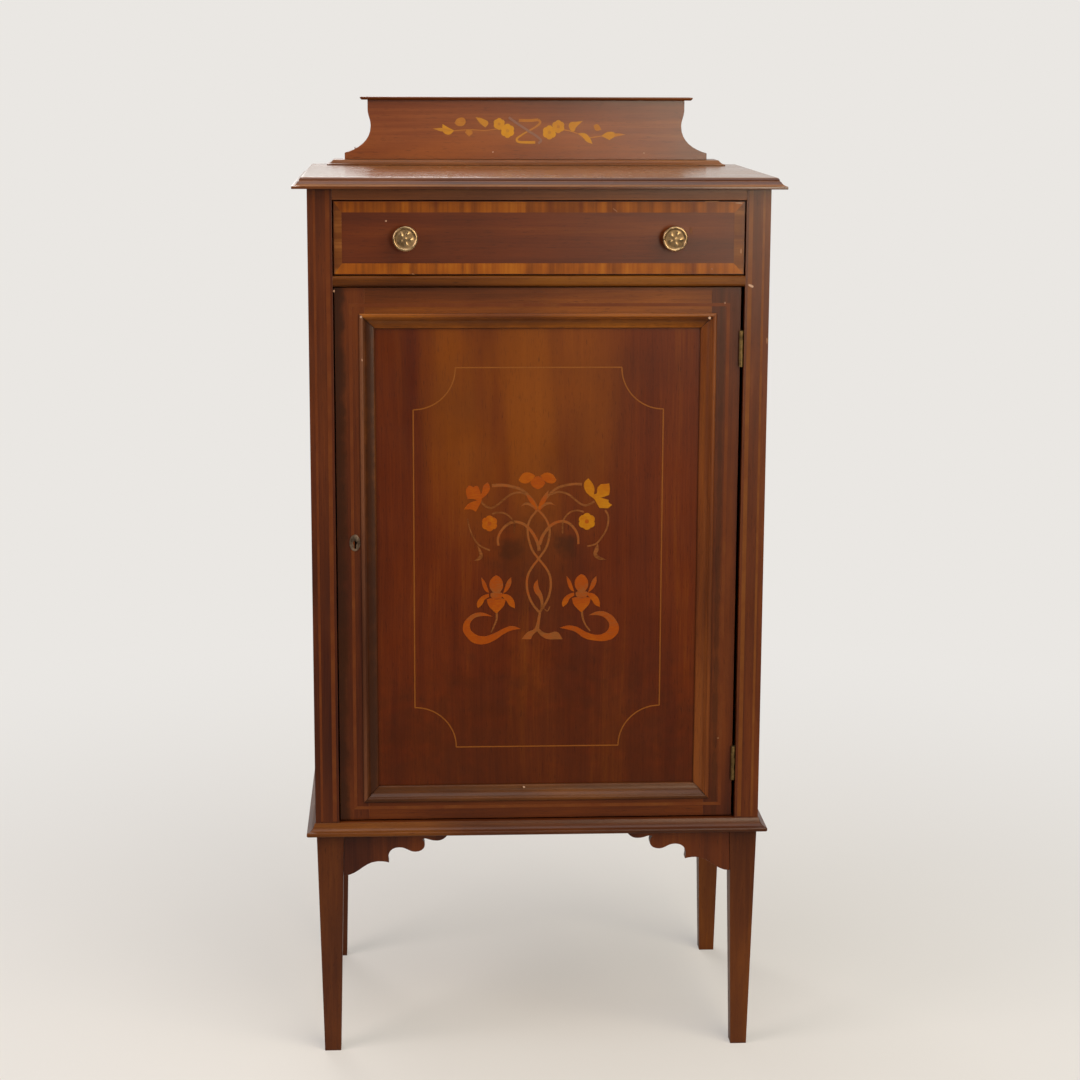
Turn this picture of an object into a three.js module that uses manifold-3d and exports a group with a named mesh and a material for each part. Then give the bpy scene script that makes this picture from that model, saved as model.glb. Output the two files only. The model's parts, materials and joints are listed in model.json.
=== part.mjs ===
// Gramophone and record cabinet in inlaid mahogany: one drawer over one panelled door, on four
// tapered legs, with a low shaped gallery at the back of the top.
// Millimetres, +Z up, the front faces -Y, origin on the floor under the middle of the cabinet.

import * as THREE from 'three';
import { mergeVertices } from 'three/addons/utils/BufferGeometryUtils.js';
import Module from 'manifold-3d';

const wasm = await Module();
wasm.setup();

// ---------------------------------------------------------------- driving dimensions

// case
const caseWidth = 508;
const caseDepth = 340;
const legHeight = 265;
const bottomBoardThickness = 14.5;
const doorOpeningHeight = 611;
const dividerRailHeight = 12;
const drawerOpeningHeight = 82.5;
const friezeRailHeight = 12.5;
const sideThickness = 16;
const postWidth = 27;
const railDepth = 40;
const railNosingRadius = 3;
const backThickness = 9;
const backRebate = 8;

// joinery
const joineryGap = 0.25;
const tenonLength = 12;
const tenonThickness = 6;
const tenonSetback = 8;
const tenonWidth = 14;
const grooveDepth = 4;
const mitreGap = 0.2;
const pinGap = 0.05;
// how far a cutting tool runs past the face that it cuts through
const cutPast = 1;

// top and gallery
const topOverhang = 16;
const topThickness = 12.5;
const topLipHeight = 3;
const topEdgeWidth = 12;
const galleryBaseDepth = 50;
const galleryBaseThickness = 6.5;
const galleryBaseProjection = 21;
const galleryBaseEdgeWidth = 9;
const galleryBaseLipHeight = 1.5;
const galleryWidth = 439;
const galleryHeight = 71;
const galleryThickness = 18;
const gallerySetback = 16;
const galleryWaistInset = 31.5;
const galleryShoulderInset = 28;
const galleryToeHeight = 8;
const galleryWaistHeight = 40;
const galleryShoulderHeight = 59;
const galleryToeCurve = 4;
const galleryWaistCurve = 14;
const galleryShoulderCurve = 8;
const galleryShoulderLean = 0.5;
const capOverhang = 9;
const capThickness = 3.5;
const capBevel = 2;

// base moulding
const baseMouldingProjection = 10;
const baseMouldingLipHeight = 5;

// legs and brackets
const legInset = 1;
const legTop = 31;
const legFoot = 18.75;
const legOuterTaper = 6;
const legTenon = 14;
const legTenonLength = 9;
const bracketThickness = 14;
const bracketSetback = 2.5;
const bracketDrop = 50;
const bracketReach = 121;

// shelves
const shelfCount = 2;
const shelfThickness = 10;
const shelfSideGap = 0.5;
const shelfSetback = 42;
const bearerWidth = 12;
const bearerHeight = 15;

// drawer
const drawerRecess = 3;
const drawerSideGap = 1.25;
const drawerEdgeGap = 1.25;
const drawerFrontThickness = 18;
const drawerSideThickness = 10;
const drawerLapThickness = 6;
const drawerRunningGap = 0.25;
const drawerTopGap = 1.5;
const drawerBackThickness = 10;
const drawerBackInset = 8;
const drawerBottomThickness = 6;
const drawerBottomRise = 7;
const tailCount = 3;
const tailSlope = 2;
const dovetailGap = 0.3;
const guideGap = 1;
const guideHeight = 10;
const runnerWidth = 23;
const kickerWidth = 26;
const dustBoardThickness = 6;

// knobs
const knobInset = 78.25;
const knobRadius = 14;
const knobProjection = 16;
const knobSpindleRadius = 2.5;
const knobSpindleEnd = 2;
const knobNutWidth = 10;
const knobNutThickness = 4;

// door
const doorRecess = 6;
const doorThickness = 20;
const doorStopGap = 0.25;
const doorStopWidth = 21;
const doorStopThickness = 8;
const doorTopGap = 1.25;
const doorBottomGap = 1.5;
const doorLockGap = 1.5;
const doorHingeGap = 3.5;
const doorStileWidth = 32.5;
const doorTopRailWidth = 34.5;
const doorBottomRailWidth = 26.5;
const doorTenonLength = 20;
const doorTenonShoulder = 5;
const panelSink = 8;
const panelThickness = 6;
const panelGrooveDepth = 6;
const panelExpansionGap = 1;
const mouldingWidth = 17.5;
const mouldingLap = 6;
const mouldingBeadWidth = 5;
const mouldingProud = 2.5;

// hinges
const hingeLength = 40;
const hingeTopInset = 48;
const hingeBottomInset = 43;
const knuckleRadius = 2.5;
const knuckleCount = 5;
const knuckleGap = 0.25;
const hingePinRadius = 1.2;
const hingeLeafThickness = 1.25;
const hingeLeafStart = 3;
const hingeLeafEnd = 20;

// lock
const lockHeight = 323;
const keyholeInset = 19.5;
const keyholeRadius = 2.25;
const keyholeSlotWidth = 2.5;
const keyholeSlotLength = 7;
const lockBodyWidth = 24;
const lockBodyHeight = 44;
const lockBodyThickness = 10;
const selvedgeThickness = 1.5;
const selvedgeHeight = 54;
const boltThickness = 4;
const boltHeight = 10;
const boltLength = 19;
const boltRise = 11;
const boltTravel = 6;
const boltEndGap = 2;
const escutcheonWidth = 12;
const escutcheonHeight = 19;
const escutcheonThickness = 1;

// ---------------------------------------------------------------- places worked out from the sizes

const halfCase = caseWidth / 2;
const caseBack = (caseDepth + topOverhang) / 2;
const caseFront = caseBack - caseDepth;
const postInner = halfCase - postWidth;
const sideInner = halfCase - sideThickness;
const postDepth = doorRecess + doorThickness + doorStopGap;
const postBack = caseFront + postDepth;
const railBack = caseFront + railDepth;
const backFront = caseBack - backThickness;

const boardTopZ = legHeight + bottomBoardThickness;
const dividerBottomZ = boardTopZ + doorOpeningHeight;
const dividerTopZ = dividerBottomZ + dividerRailHeight;
const friezeBottomZ = dividerTopZ + drawerOpeningHeight;
const caseTopZ = friezeBottomZ + friezeRailHeight;
const topSurfaceZ = caseTopZ + topThickness;
const galleryBottomZ = topSurfaceZ + galleryBaseThickness;
const galleryTopZ = galleryBottomZ + galleryHeight;

const hingeAxisX = postInner - joineryGap - knuckleRadius;
const hingeAxisY = caseFront + doorRecess - joineryGap - knuckleRadius;

// ---------------------------------------------------------------- materials

function finish(colour, roughness, metalness = 0) {
  return () => new THREE.MeshStandardMaterial({ color: colour, roughness, metalness });
}

const mahogany = finish(0x4a1f12, 0.35);
const mahoganyMoulding = finish(0x55290f, 0.32);
const mahoganyPanel = finish(0x5a2410, 0.3);
const mahoganyInside = finish(0x5b3320, 0.6);
const pine = finish(0xa9794a, 0.7);
const agedBrass = finish(0x9a7a48, 0.42, 0.9);
const steel = finish(0x6d6a66, 0.5, 0.9);

// ---------------------------------------------------------------- solids

function solidOf(geometry) {
  const bare = geometry.clone();
  bare.deleteAttribute('normal');
  bare.deleteAttribute('uv');
  const merged = mergeVertices(bare);
  return new wasm.Manifold(new wasm.Mesh({
    numProp: 3,
    vertProperties: merged.attributes.position.array,
    triVerts: Uint32Array.from(merged.index.array),
  }));
}

function geometryOf(solid) {
  const { vertProperties, triVerts } = solid.getMesh();
  const geometry = new THREE.BufferGeometry();
  geometry.setAttribute('position', new THREE.BufferAttribute(vertProperties, 3));
  geometry.setIndex(new THREE.BufferAttribute(triVerts, 1));
  geometry.computeVertexNormals();
  return geometry;
}

function cut(geometry, ...tools) {
  return geometryOf(tools.reduce((solid, tool) => solid.subtract(solidOf(tool)), solidOf(geometry)));
}

function join(geometry, ...others) {
  return geometryOf(others.reduce((solid, other) => solid.add(solidOf(other)), solidOf(geometry)));
}

function overlapOf(geometry, other) {
  return geometryOf(solidOf(geometry).intersect(solidOf(other)));
}

// A box from its spans along x, y and z.
function block([x0, x1], [y0, y1], [z0, z1]) {
  const box = new THREE.BoxGeometry(x1 - x0, y1 - y0, z1 - z0);
  return box.translate((x0 + x1) / 2, (y0 + y1) / 2, (z0 + z1) / 2);
}

function extrude(outline, length, basis) {
  const solid = new THREE.ExtrudeGeometry(outline, {
    depth: length,
    bevelEnabled: false,
    curveSegments: 7,
  });
  return solid.applyMatrix4(new THREE.Matrix4().makeBasis(...basis));
}

const X = new THREE.Vector3(1, 0, 0);
const Y = new THREE.Vector3(0, 1, 0);
const Z = new THREE.Vector3(0, 0, 1);
const reversed = (axis) => axis.clone().negate();

// An outline drawn in (y, z), run along x.
function alongX(outline, [x0, x1]) {
  return extrude(outline, x1 - x0, [Y, Z, X]).translate(x0, 0, 0);
}

// An outline drawn in (x, z), run along y.
function alongY(outline, [y0, y1]) {
  return extrude(outline, y1 - y0, [X, Z, reversed(Y)]).translate(0, y1, 0);
}

function polygon(points) {
  return new THREE.Shape(points.map(([x, y]) => new THREE.Vector2(x, y)));
}

// A cylinder along y, for holes and round tools.
function rodAlongY(radius, [y0, y1], x, z, sides = 24) {
  const rod = new THREE.CylinderGeometry(radius, radius, y1 - y0, sides);
  return rod.translate(0, (y0 + y1) / 2, 0).translate(x, 0, z);
}

function rodAlongZ(radius, [z0, z1], x = 0, y = 0, sides = 24) {
  const rod = new THREE.CylinderGeometry(radius, radius, z1 - z0, sides);
  return rod.rotateX(Math.PI / 2).translate(x, y, (z0 + z1) / 2);
}

// A strip of moulding whose section is drawn in (u, v). Its ends are cut at a slope along u:
// +1 shortens the strip with u and -1 lengthens it, as at an inner or an outer mitre.
function mouldingStrip(section, length, startSlope, endSlope, origin, uAxis, vAxis) {
  const strip = new THREE.ExtrudeGeometry(section, {
    depth: length,
    bevelEnabled: false,
    curveSegments: 6,
  });
  const place = strip.attributes.position;
  for (let i = 0; i < place.count; i += 1) {
    const u = place.getX(i);
    const atStart = place.getZ(i) < length / 2;
    const slope = atStart ? startSlope : endSlope;
    const inset = slope === 0 ? 0 : slope * u + mitreGap;
    place.setZ(i, atStart ? inset : length - inset);
  }
  const wAxis = new THREE.Vector3().crossVectors(uAxis, vAxis);
  strip.applyMatrix4(new THREE.Matrix4().makeBasis(uAxis, vAxis, wAxis));
  return strip.translate(...origin);
}

function piece(name, geometry, material, x = 0, y = 0, z = 0) {
  const mesh = new THREE.Mesh(geometry, material());
  mesh.name = name;
  mesh.position.set(x, y, z);
  return mesh;
}

// A plain board: its box is centred on the mesh, and the mesh is placed at the middle of its spans.
function board(name, material, [x0, x1], [y0, y1], [z0, z1]) {
  const box = new THREE.BoxGeometry(x1 - x0, y1 - y0, z1 - z0);
  return piece(name, box, material, (x0 + x1) / 2, (y0 + y1) / 2, (z0 + z1) / 2);
}

const sides = [['left', -1], ['right', 1]];

// A span on one side of the middle, from two distances out.
function outward(side, near, far) {
  return side < 0 ? [-far, -near] : [near, far];
}

// ---------------------------------------------------------------- case

// The tenons at a front rail's two ends, or the mortises for them when gap is above 0.
function railTenon(side, bottom, top, gap = 0) {
  const start = caseFront + tenonSetback;
  return block(
    outward(side, postInner - joineryGap, postInner + tenonLength + gap),
    [start - gap, start + tenonWidth + gap],
    [bottom - gap, top + gap],
  );
}

const dividerTenonZ = [
  (dividerBottomZ + dividerTopZ - tenonThickness) / 2,
  (dividerBottomZ + dividerTopZ + tenonThickness) / 2,
];

function frontPost(name, side) {
  const post = block(outward(side, postInner, halfCase), [caseFront, postBack], [boardTopZ, caseTopZ]);
  const mortises = [
    railTenon(side, ...dividerTenonZ, joineryGap),
    railTenon(side, friezeBottomZ, caseTopZ + joineryGap, joineryGap),
  ];
  if (side < 0) mortises.push(boltMortise());
  return piece(name, cut(post, ...mortises), mahogany);
}

function sidePanel(name, side) {
  const panel = block(outward(side, sideInner, halfCase), [postBack, caseBack], [boardTopZ, caseTopZ]);
  const rebate = block(
    outward(side, sideInner - backRebate, sideInner + backRebate),
    [backFront, caseBack + backThickness],
    [boardTopZ - backThickness, caseTopZ + backThickness],
  );
  return piece(name, cut(panel, rebate), mahogany);
}

// The rail under the drawer: a rounded front edge, a groove for the dust board behind.
function dividerRail() {
  const nose = railNosingRadius;
  const outline = new THREE.Shape();
  outline.moveTo(railBack, dividerBottomZ);
  outline.lineTo(railBack, dividerTopZ);
  outline.lineTo(caseFront + nose, dividerTopZ);
  outline.absarc(caseFront + nose, dividerTopZ - nose, nose, Math.PI / 2, Math.PI, false);
  outline.absarc(caseFront + nose, dividerBottomZ + nose, nose, Math.PI, Math.PI * 1.5, false);
  outline.closePath();
  const rail = alongX(outline, [-postInner, postInner]);
  const groove = block(
    [-postInner - grooveDepth, postInner + grooveDepth],
    [railBack - grooveDepth - joineryGap, railBack + grooveDepth],
    grooveSpan(dustBoardZ),
  );
  const tenons = sides.map(([, side]) => railTenon(side, ...dividerTenonZ));
  return piece('drawer_divider_rail', join(cut(rail, groove), ...tenons), mahoganyMoulding);
}

function friezeRail() {
  const rail = block([-postInner, postInner], [caseFront, railBack], [friezeBottomZ, caseTopZ]);
  const tenons = sides.map(([, side]) => railTenon(side, friezeBottomZ, caseTopZ));
  return piece('frieze_rail', join(rail, ...tenons), mahogany);
}

const dustBoardZ = [
  (dividerBottomZ + dividerTopZ - dustBoardThickness) / 2,
  (dividerBottomZ + dividerTopZ + dustBoardThickness) / 2,
];

function grooveSpan([low, high]) {
  return [low - joineryGap, high + joineryGap];
}

const runnerInner = sideInner - runnerWidth;

// The runner that carries a drawer side, with the guide that keeps the drawer straight.
function drawerRunner(name, side) {
  const guideInner = postInner - drawerSideGap + guideGap;
  const run = [railBack, backFront];
  const runner = block(outward(side, runnerInner, sideInner), run, [dividerBottomZ, dividerTopZ]);
  const guide = block(
    outward(side, guideInner, sideInner),
    run,
    [dividerBottomZ, dividerTopZ + guideHeight],
  );
  const groove = block(
    outward(side, runnerInner - grooveDepth, runnerInner + grooveDepth + joineryGap),
    [railBack - grooveDepth, backFront + grooveDepth],
    grooveSpan(dustBoardZ),
  );
  return piece(name, cut(join(runner, guide), groove), pine);
}

function drawerKicker(name, side) {
  return board(
    name,
    pine,
    outward(side, sideInner - kickerWidth, sideInner),
    [railBack, backFront],
    [friezeBottomZ, caseTopZ],
  );
}

function dustBoard() {
  const half = runnerInner + grooveDepth;
  return board('dust_board', pine, [-half, half], [railBack - grooveDepth, backFront], dustBoardZ);
}

function bottomBoard() {
  const base = block([-halfCase, halfCase], [caseFront, caseBack], [legHeight, boardTopZ]);
  const mortises = legPlaces.map(({ x, y }) => legTenonBlock(joineryGap).translate(x, y, 0));
  return piece('bottom_board', cut(base, ...mortises), mahogany);
}

function backPanel() {
  const half = sideInner + backRebate;
  return board('back_panel', pine, [-half, half], [backFront, caseBack], [boardTopZ, caseTopZ]);
}

function doorStop() {
  return board(
    'door_stop_strip',
    mahoganyInside,
    [-sideInner, -sideInner + doorStopWidth],
    [postBack, postBack + doorStopThickness],
    [boardTopZ, dividerBottomZ],
  );
}

function shelves() {
  const space = (doorOpeningHeight - shelfCount * shelfThickness) / (shelfCount + 1);
  const half = sideInner - shelfSideGap;
  const run = [caseFront + shelfSetback, backFront];
  const names = ['lower', 'upper'];
  return names.slice(0, shelfCount).flatMap((level, i) => {
    const underside = boardTopZ + space + i * (space + shelfThickness);
    const shelf = board(
      `shelf_${level}`,
      mahoganyInside,
      [-half, half],
      run,
      [underside, underside + shelfThickness],
    );
    const bearers = sides.map(([word, side]) => board(
      `shelf_bearer_${level}_${word}`,
      mahoganyInside,
      outward(side, sideInner - bearerWidth, sideInner),
      run,
      [underside - bearerHeight, underside],
    ));
    return [shelf, ...bearers];
  });
}

function caseGroup() {
  const group = new THREE.Group();
  sides.forEach(([word, side]) => {
    group.add(
      frontPost(`front_post_${word}`, side),
      sidePanel(`side_panel_${word}`, side),
      drawerRunner(`drawer_runner_${word}`, side),
      drawerKicker(`drawer_kicker_${word}`, side),
    );
  });
  group.add(bottomBoard(), backPanel(), dividerRail(), friezeRail(), dustBoard(), doorStop());
  group.add(...shelves());
  return group;
}

// ---------------------------------------------------------------- top and gallery

// A moulded board edge from the lip inwards: (0, 0) is the lip's lower corner, width is how far the
// edge runs in, and the board's upper face is at height.
function mouldedEdge(outline, lip, inwards, width, lipHeight, height) {
  const step = width / 12;
  const hollowTop = lipHeight + (height - lipHeight) * 0.55;
  const x = (distance) => lip + inwards * distance;
  outline.lineTo(x(0), lipHeight);
  outline.quadraticCurveTo(x(5.5 * step), lipHeight + 0.1 * height, x(7 * step), hollowTop);
  outline.lineTo(x(8 * step), hollowTop);
  outline.quadraticCurveTo(x(8.5 * step), height, x(width), height);
}

// A flat board with the moulded edge on its front and both ends, mitred at the corners.
function mouldedBoard(halfWidth, front, back, edgeWidth, lipHeight, height) {
  const across = new THREE.Shape();
  across.moveTo(-halfWidth, 0);
  mouldedEdge(across, -halfWidth, 1, edgeWidth, lipHeight, height);
  const mirrored = across.getPoints(7).map((p) => new THREE.Vector2(-p.x, p.y)).reverse();
  const ends = new THREE.Shape([...across.getPoints(7), ...mirrored]);
  const deep = new THREE.Shape();
  deep.moveTo(front, 0);
  mouldedEdge(deep, front, 1, edgeWidth, lipHeight, height);
  deep.lineTo(back, height);
  deep.lineTo(back, 0);
  const frontMoulded = alongX(new THREE.Shape(deep.getPoints(7)), [-halfWidth, halfWidth]);
  return overlapOf(alongY(ends, [front, back]), frontMoulded);
}

function topBoard() {
  const geometry = mouldedBoard(
    halfCase + topOverhang,
    caseFront - topOverhang,
    caseBack,
    topEdgeWidth,
    topLipHeight,
    topThickness,
  );
  return piece('top_board', geometry, mahoganyMoulding, 0, 0, caseTopZ);
}

function galleryBase() {
  const geometry = mouldedBoard(
    galleryWidth / 2 + galleryBaseProjection,
    caseBack - galleryBaseDepth,
    caseBack,
    galleryBaseEdgeWidth,
    galleryBaseLipHeight,
    galleryBaseThickness,
  );
  return piece('gallery_base', geometry, mahoganyMoulding, 0, 0, topSurfaceZ);
}

const galleryFront = caseBack - galleryBaseDepth + gallerySetback;
const galleryBack = galleryFront + galleryThickness;

// Half of the shaped outline, from the foot up to the cap, as distances from the middle.
function galleryEdge() {
  const half = galleryWidth / 2;
  const edge = new THREE.Path();
  edge.moveTo(half, 0);
  edge.lineTo(half, galleryToeHeight);
  edge.bezierCurveTo(
    half - 0.5 * galleryWaistInset, galleryToeHeight + galleryToeCurve,
    half - galleryWaistInset, galleryToeHeight + galleryWaistCurve,
    half - galleryWaistInset, galleryWaistHeight,
  );
  edge.bezierCurveTo(
    half - galleryWaistInset, galleryWaistHeight + galleryShoulderCurve,
    half - galleryShoulderInset - galleryShoulderLean, galleryShoulderHeight - galleryShoulderCurve,
    half - galleryShoulderInset, galleryShoulderHeight,
  );
  edge.lineTo(half - galleryShoulderInset, galleryHeight);
  return edge.getPoints(8);
}

function galleryBoard() {
  const right = galleryEdge();
  const left = right.map((p) => new THREE.Vector2(-p.x, p.y)).reverse();
  const geometry = alongY(new THREE.Shape([...right, ...left]), [galleryFront, galleryBack]);
  return piece('gallery_board', geometry, mahogany, 0, 0, galleryBottomZ);
}

// The thin cap has square edges that are bevelled away underneath.
function galleryCap() {
  const half = galleryWidth / 2 - galleryShoulderInset + capOverhang;
  const front = galleryFront - capOverhang;
  const back = galleryBack + capOverhang;
  const bevelled = (low, high) => polygon([
    [low + capBevel, 0],
    [low, capBevel],
    [low, capThickness],
    [high, capThickness],
    [high, capBevel],
    [high - capBevel, 0],
  ]);
  const geometry = overlapOf(
    alongY(bevelled(-half, half), [front, back]),
    alongX(bevelled(front, back), [-half, half]),
  );
  return piece('gallery_cap', geometry, mahoganyMoulding, 0, 0, galleryTopZ);
}

function topGroup() {
  const group = new THREE.Group();
  group.add(topBoard(), galleryBase(), galleryBoard(), galleryCap());
  return group;
}

// ---------------------------------------------------------------- base moulding, legs and brackets

// Section in (u, v): u runs out from the case, v up from the underside.
function baseMouldingSection() {
  const lip = baseMouldingLipHeight;
  const reach = baseMouldingProjection;
  const section = new THREE.Shape();
  section.moveTo(0, 0);
  section.lineTo(reach * 0.85, 0);
  section.quadraticCurveTo(reach, 0, reach, lip * 0.5);
  section.quadraticCurveTo(reach, lip, reach * 0.82, lip);
  section.quadraticCurveTo(reach * 0.3, lip * 1.2, reach * 0.1, bottomBoardThickness);
  section.lineTo(0, bottomBoardThickness);
  return section;
}

function baseMouldings() {
  const section = baseMouldingSection();
  const front = mouldingStrip(
    section, caseWidth, -1, -1, [halfCase, caseFront, legHeight], reversed(Y), Z,
  );
  const left = mouldingStrip(
    section, caseDepth, -1, 0, [-halfCase, caseFront, legHeight], reversed(X), Z,
  );
  const right = mouldingStrip(
    section, caseDepth, 0, -1, [halfCase, caseBack, legHeight], X, Z,
  );
  return [
    piece('base_moulding_front', front, mahoganyMoulding),
    piece('base_moulding_left', left, mahoganyMoulding),
    piece('base_moulding_right', right, mahoganyMoulding),
  ];
}

const legCentreX = halfCase - legInset - legTop / 2;
const legPlaces = [
  { name: 'leg_front_left', x: -legCentreX, y: caseFront + legInset + legTop / 2, outX: -1, outY: -1 },
  { name: 'leg_front_right', x: legCentreX, y: caseFront + legInset + legTop / 2, outX: 1, outY: -1 },
  { name: 'leg_rear_left', x: -legCentreX, y: caseBack - legInset - legTop / 2, outX: -1, outY: 1 },
  { name: 'leg_rear_right', x: legCentreX, y: caseBack - legInset - legTop / 2, outX: 1, outY: 1 },
];

function legTenonBlock(gap = 0) {
  const half = legTenon / 2 + gap;
  return block([-half, half], [-half, half], [legHeight - gap, legHeight + legTenonLength + gap]);
}

// Square at the top and tapered on all four faces. The outer faces draw in by legOuterTaper.
function leg({ name, x, y, outX, outY }) {
  const shaft = new THREE.BoxGeometry(legTop, legTop, legHeight);
  const place = shaft.attributes.position;
  const innerTaper = legTop - legFoot - legOuterTaper;
  const drawIn = (value, out) => value - Math.sign(value) * (value * out > 0 ? legOuterTaper : innerTaper);
  for (let i = 0; i < place.count; i += 1) {
    if (place.getZ(i) > 0) continue;
    place.setX(i, drawIn(place.getX(i), outX));
    place.setY(i, drawIn(place.getY(i), outY));
  }
  shaft.translate(0, 0, legHeight / 2);
  return piece(name, join(shaft, legTenonBlock()), mahogany, x, y, 0);
}

// The shaped bracket between a front leg and the board, in (u, w): u runs in from the leg and w
// drops from the board. From the leg: a sweep up to a cusp, a hollow, a full lobe and a small lobe.
function bracketOutline(side) {
  const innerTaper = legTop - legFoot - legOuterTaper;
  const lean = innerTaper * bracketDrop / legHeight;
  const u = (share) => side * -share * bracketReach;
  const w = (share) => -share * bracketDrop;
  const legFace = side * -joineryGap;
  const outline = new THREE.Shape();
  outline.moveTo(legFace, 0);
  outline.lineTo(legFace + side * lean, w(1));
  outline.bezierCurveTo(u(0.13), w(1), u(0.18), w(0.69), u(0.31), w(0.67));
  outline.quadraticCurveTo(u(0.37), w(0.66), u(0.425), w(0.7));
  outline.bezierCurveTo(u(0.4), w(0.48), u(0.44), w(0.34), u(0.52), w(0.34));
  outline.bezierCurveTo(u(0.595), w(0.34), u(0.61), w(0.45), u(0.675), w(0.45));
  outline.bezierCurveTo(u(0.76), w(0.45), u(0.79), w(0.28), u(0.74), w(0.15));
  outline.bezierCurveTo(u(0.78), w(0.1), u(0.8), w(0.19), u(0.88), w(0.19));
  outline.bezierCurveTo(u(0.95), w(0.19), u(0.97), w(0.08), u(1), 0);
  return outline;
}

function bracket(name, side) {
  const start = caseFront + bracketSetback;
  const geometry = alongY(bracketOutline(side), [start, start + bracketThickness]);
  return piece(name, geometry, mahogany, side * (legCentreX - legTop / 2), 0, legHeight);
}

function standGroup() {
  const group = new THREE.Group();
  group.add(...baseMouldings(), ...legPlaces.map(leg));
  sides.forEach(([word, side]) => group.add(bracket(`leg_bracket_${word}`, side)));
  return group;
}

// ---------------------------------------------------------------- drawer

const drawerWidth = 2 * (postInner - drawerSideGap);
const drawerOuter = drawerWidth / 2;
const drawerFrontFace = caseFront + drawerRecess;
const drawerFrontBack = drawerFrontFace + drawerFrontThickness;
const drawerFrontZ = [dividerTopZ + drawerEdgeGap, friezeBottomZ - drawerEdgeGap];
const drawerSideZ = [dividerTopZ + drawerRunningGap, friezeBottomZ - drawerTopGap];
const drawerEnd = backFront - drawerRunningGap;
const drawerBottomZ = [
  drawerSideZ[0] + drawerBottomRise,
  drawerSideZ[0] + drawerBottomRise + drawerBottomThickness,
];

// One tail of a drawer side's lapped dovetails, in (y, z), widening towards the front.
function tail(index, gap = 0) {
  const frontZ = [drawerFrontZ[0] + drawerLapThickness, drawerFrontZ[1] - drawerLapThickness];
  const pitch = (frontZ[1] - frontZ[0]) / tailCount;
  const middle = frontZ[0] + (index + 0.5) * pitch;
  const neck = pitch * 0.3 + gap;
  const tip = drawerFrontFace + drawerLapThickness - gap;
  return polygon([
    [drawerFrontBack + gap, middle - neck],
    [drawerFrontBack + gap, middle + neck],
    [tip, middle + neck + tailSlope],
    [tip, middle - neck - tailSlope],
  ]);
}

function tails(side, gap = 0) {
  const span = outward(side, drawerOuter - drawerSideThickness - gap, drawerOuter + gap);
  return Array.from({ length: tailCount }, (_, i) => alongX(tail(i, gap), span));
}

function drawerBottomGroove() {
  const gap = joineryGap;
  const half = drawerOuter - drawerSideThickness + grooveDepth + gap;
  return block(
    [-half, half],
    [drawerFrontBack - grooveDepth - gap, drawerEnd + grooveDepth],
    [drawerBottomZ[0] - gap, drawerBottomZ[1] + gap],
  );
}

function knobHole(x) {
  const run = [drawerFrontFace - grooveDepth, drawerFrontBack + grooveDepth];
  return rodAlongY(knobSpindleRadius + joineryGap, run, x, knobZ);
}

const knobZ = (drawerFrontZ[0] + drawerFrontZ[1]) / 2;

function drawerFront() {
  const front = block([-drawerOuter, drawerOuter], [drawerFrontFace, drawerFrontBack], drawerFrontZ);
  const sockets = sides.flatMap(([, side]) => tails(side, dovetailGap));
  const holes = sides.map(([, side]) => knobHole(side * (drawerOuter - knobInset)));
  return piece('drawer_front', cut(front, ...sockets, ...holes, drawerBottomGroove()), mahogany);
}

function drawerSide(name, side) {
  const span = outward(side, drawerOuter - drawerSideThickness, drawerOuter);
  const long = block(span, [drawerFrontBack, drawerEnd], drawerSideZ);
  const geometry = cut(join(long, ...tails(side)), drawerBottomGroove());
  return piece(name, geometry, pine);
}

function drawerBack() {
  const half = drawerOuter - drawerSideThickness;
  const end = drawerEnd - drawerBackInset;
  return board(
    'drawer_back',
    pine,
    [-half, half],
    [end - drawerBackThickness, end],
    [drawerBottomZ[1], drawerSideZ[1] - drawerBackInset],
  );
}

function drawerBottom() {
  const half = drawerOuter - drawerSideThickness + grooveDepth;
  const run = [drawerFrontBack - grooveDepth, drawerEnd - drawerBackInset];
  return board('drawer_bottom', pine, [-half, half], run, drawerBottomZ);
}

// The knob, turned about its spindle: plate, waist, dished face with a raised rim and a centre boss.
function knob(name, x) {
  const r = knobRadius;
  const h = knobProjection;
  const spindleTip = -drawerFrontThickness - knobNutThickness - knobSpindleEnd;
  const profile = [
    [0, spindleTip],
    [knobSpindleRadius, spindleTip],
    [knobSpindleRadius, 0],
    [r * 0.64, 0],
    [r * 0.64, h * 0.07],
    [r * 0.42, h * 0.16],
    [r * 0.32, h * 0.34],
    [r * 0.42, h * 0.54],
    [r * 0.86, h * 0.7],
    [r, h * 0.82],
    [r * 0.96, h * 0.95],
    [r * 0.86, h],
    [r * 0.74, h * 0.93],
    [r * 0.55, h * 0.88],
    [r * 0.3, h * 0.92],
    [0, h * 0.96],
  ].map(([radius, height]) => new THREE.Vector2(radius, height));
  const turned = new THREE.LatheGeometry(profile, 32).rotateX(Math.PI);
  return piece(name, turned, agedBrass, x, drawerFrontFace, knobZ);
}

function knobNut(name, x) {
  const half = knobNutWidth / 2;
  const run = [drawerFrontBack, drawerFrontBack + knobNutThickness];
  const square = block([-half, half], run, [-half, half]);
  const hole = rodAlongY(knobSpindleRadius + pinGap, [run[0] - cutPast, run[1] + cutPast], 0, 0, 32);
  return piece(name, cut(square, hole), steel, x, 0, knobZ);
}

function drawerGroup() {
  const group = new THREE.Group();
  group.add(drawerFront(), drawerBack(), drawerBottom());
  sides.forEach(([word, side]) => {
    const x = side * (drawerOuter - knobInset);
    group.add(
      drawerSide(`drawer_side_${word}`, side),
      knob(`drawer_knob_${word}`, x),
      knobNut(`drawer_knob_nut_${word}`, x),
    );
  });
  return group;
}

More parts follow.
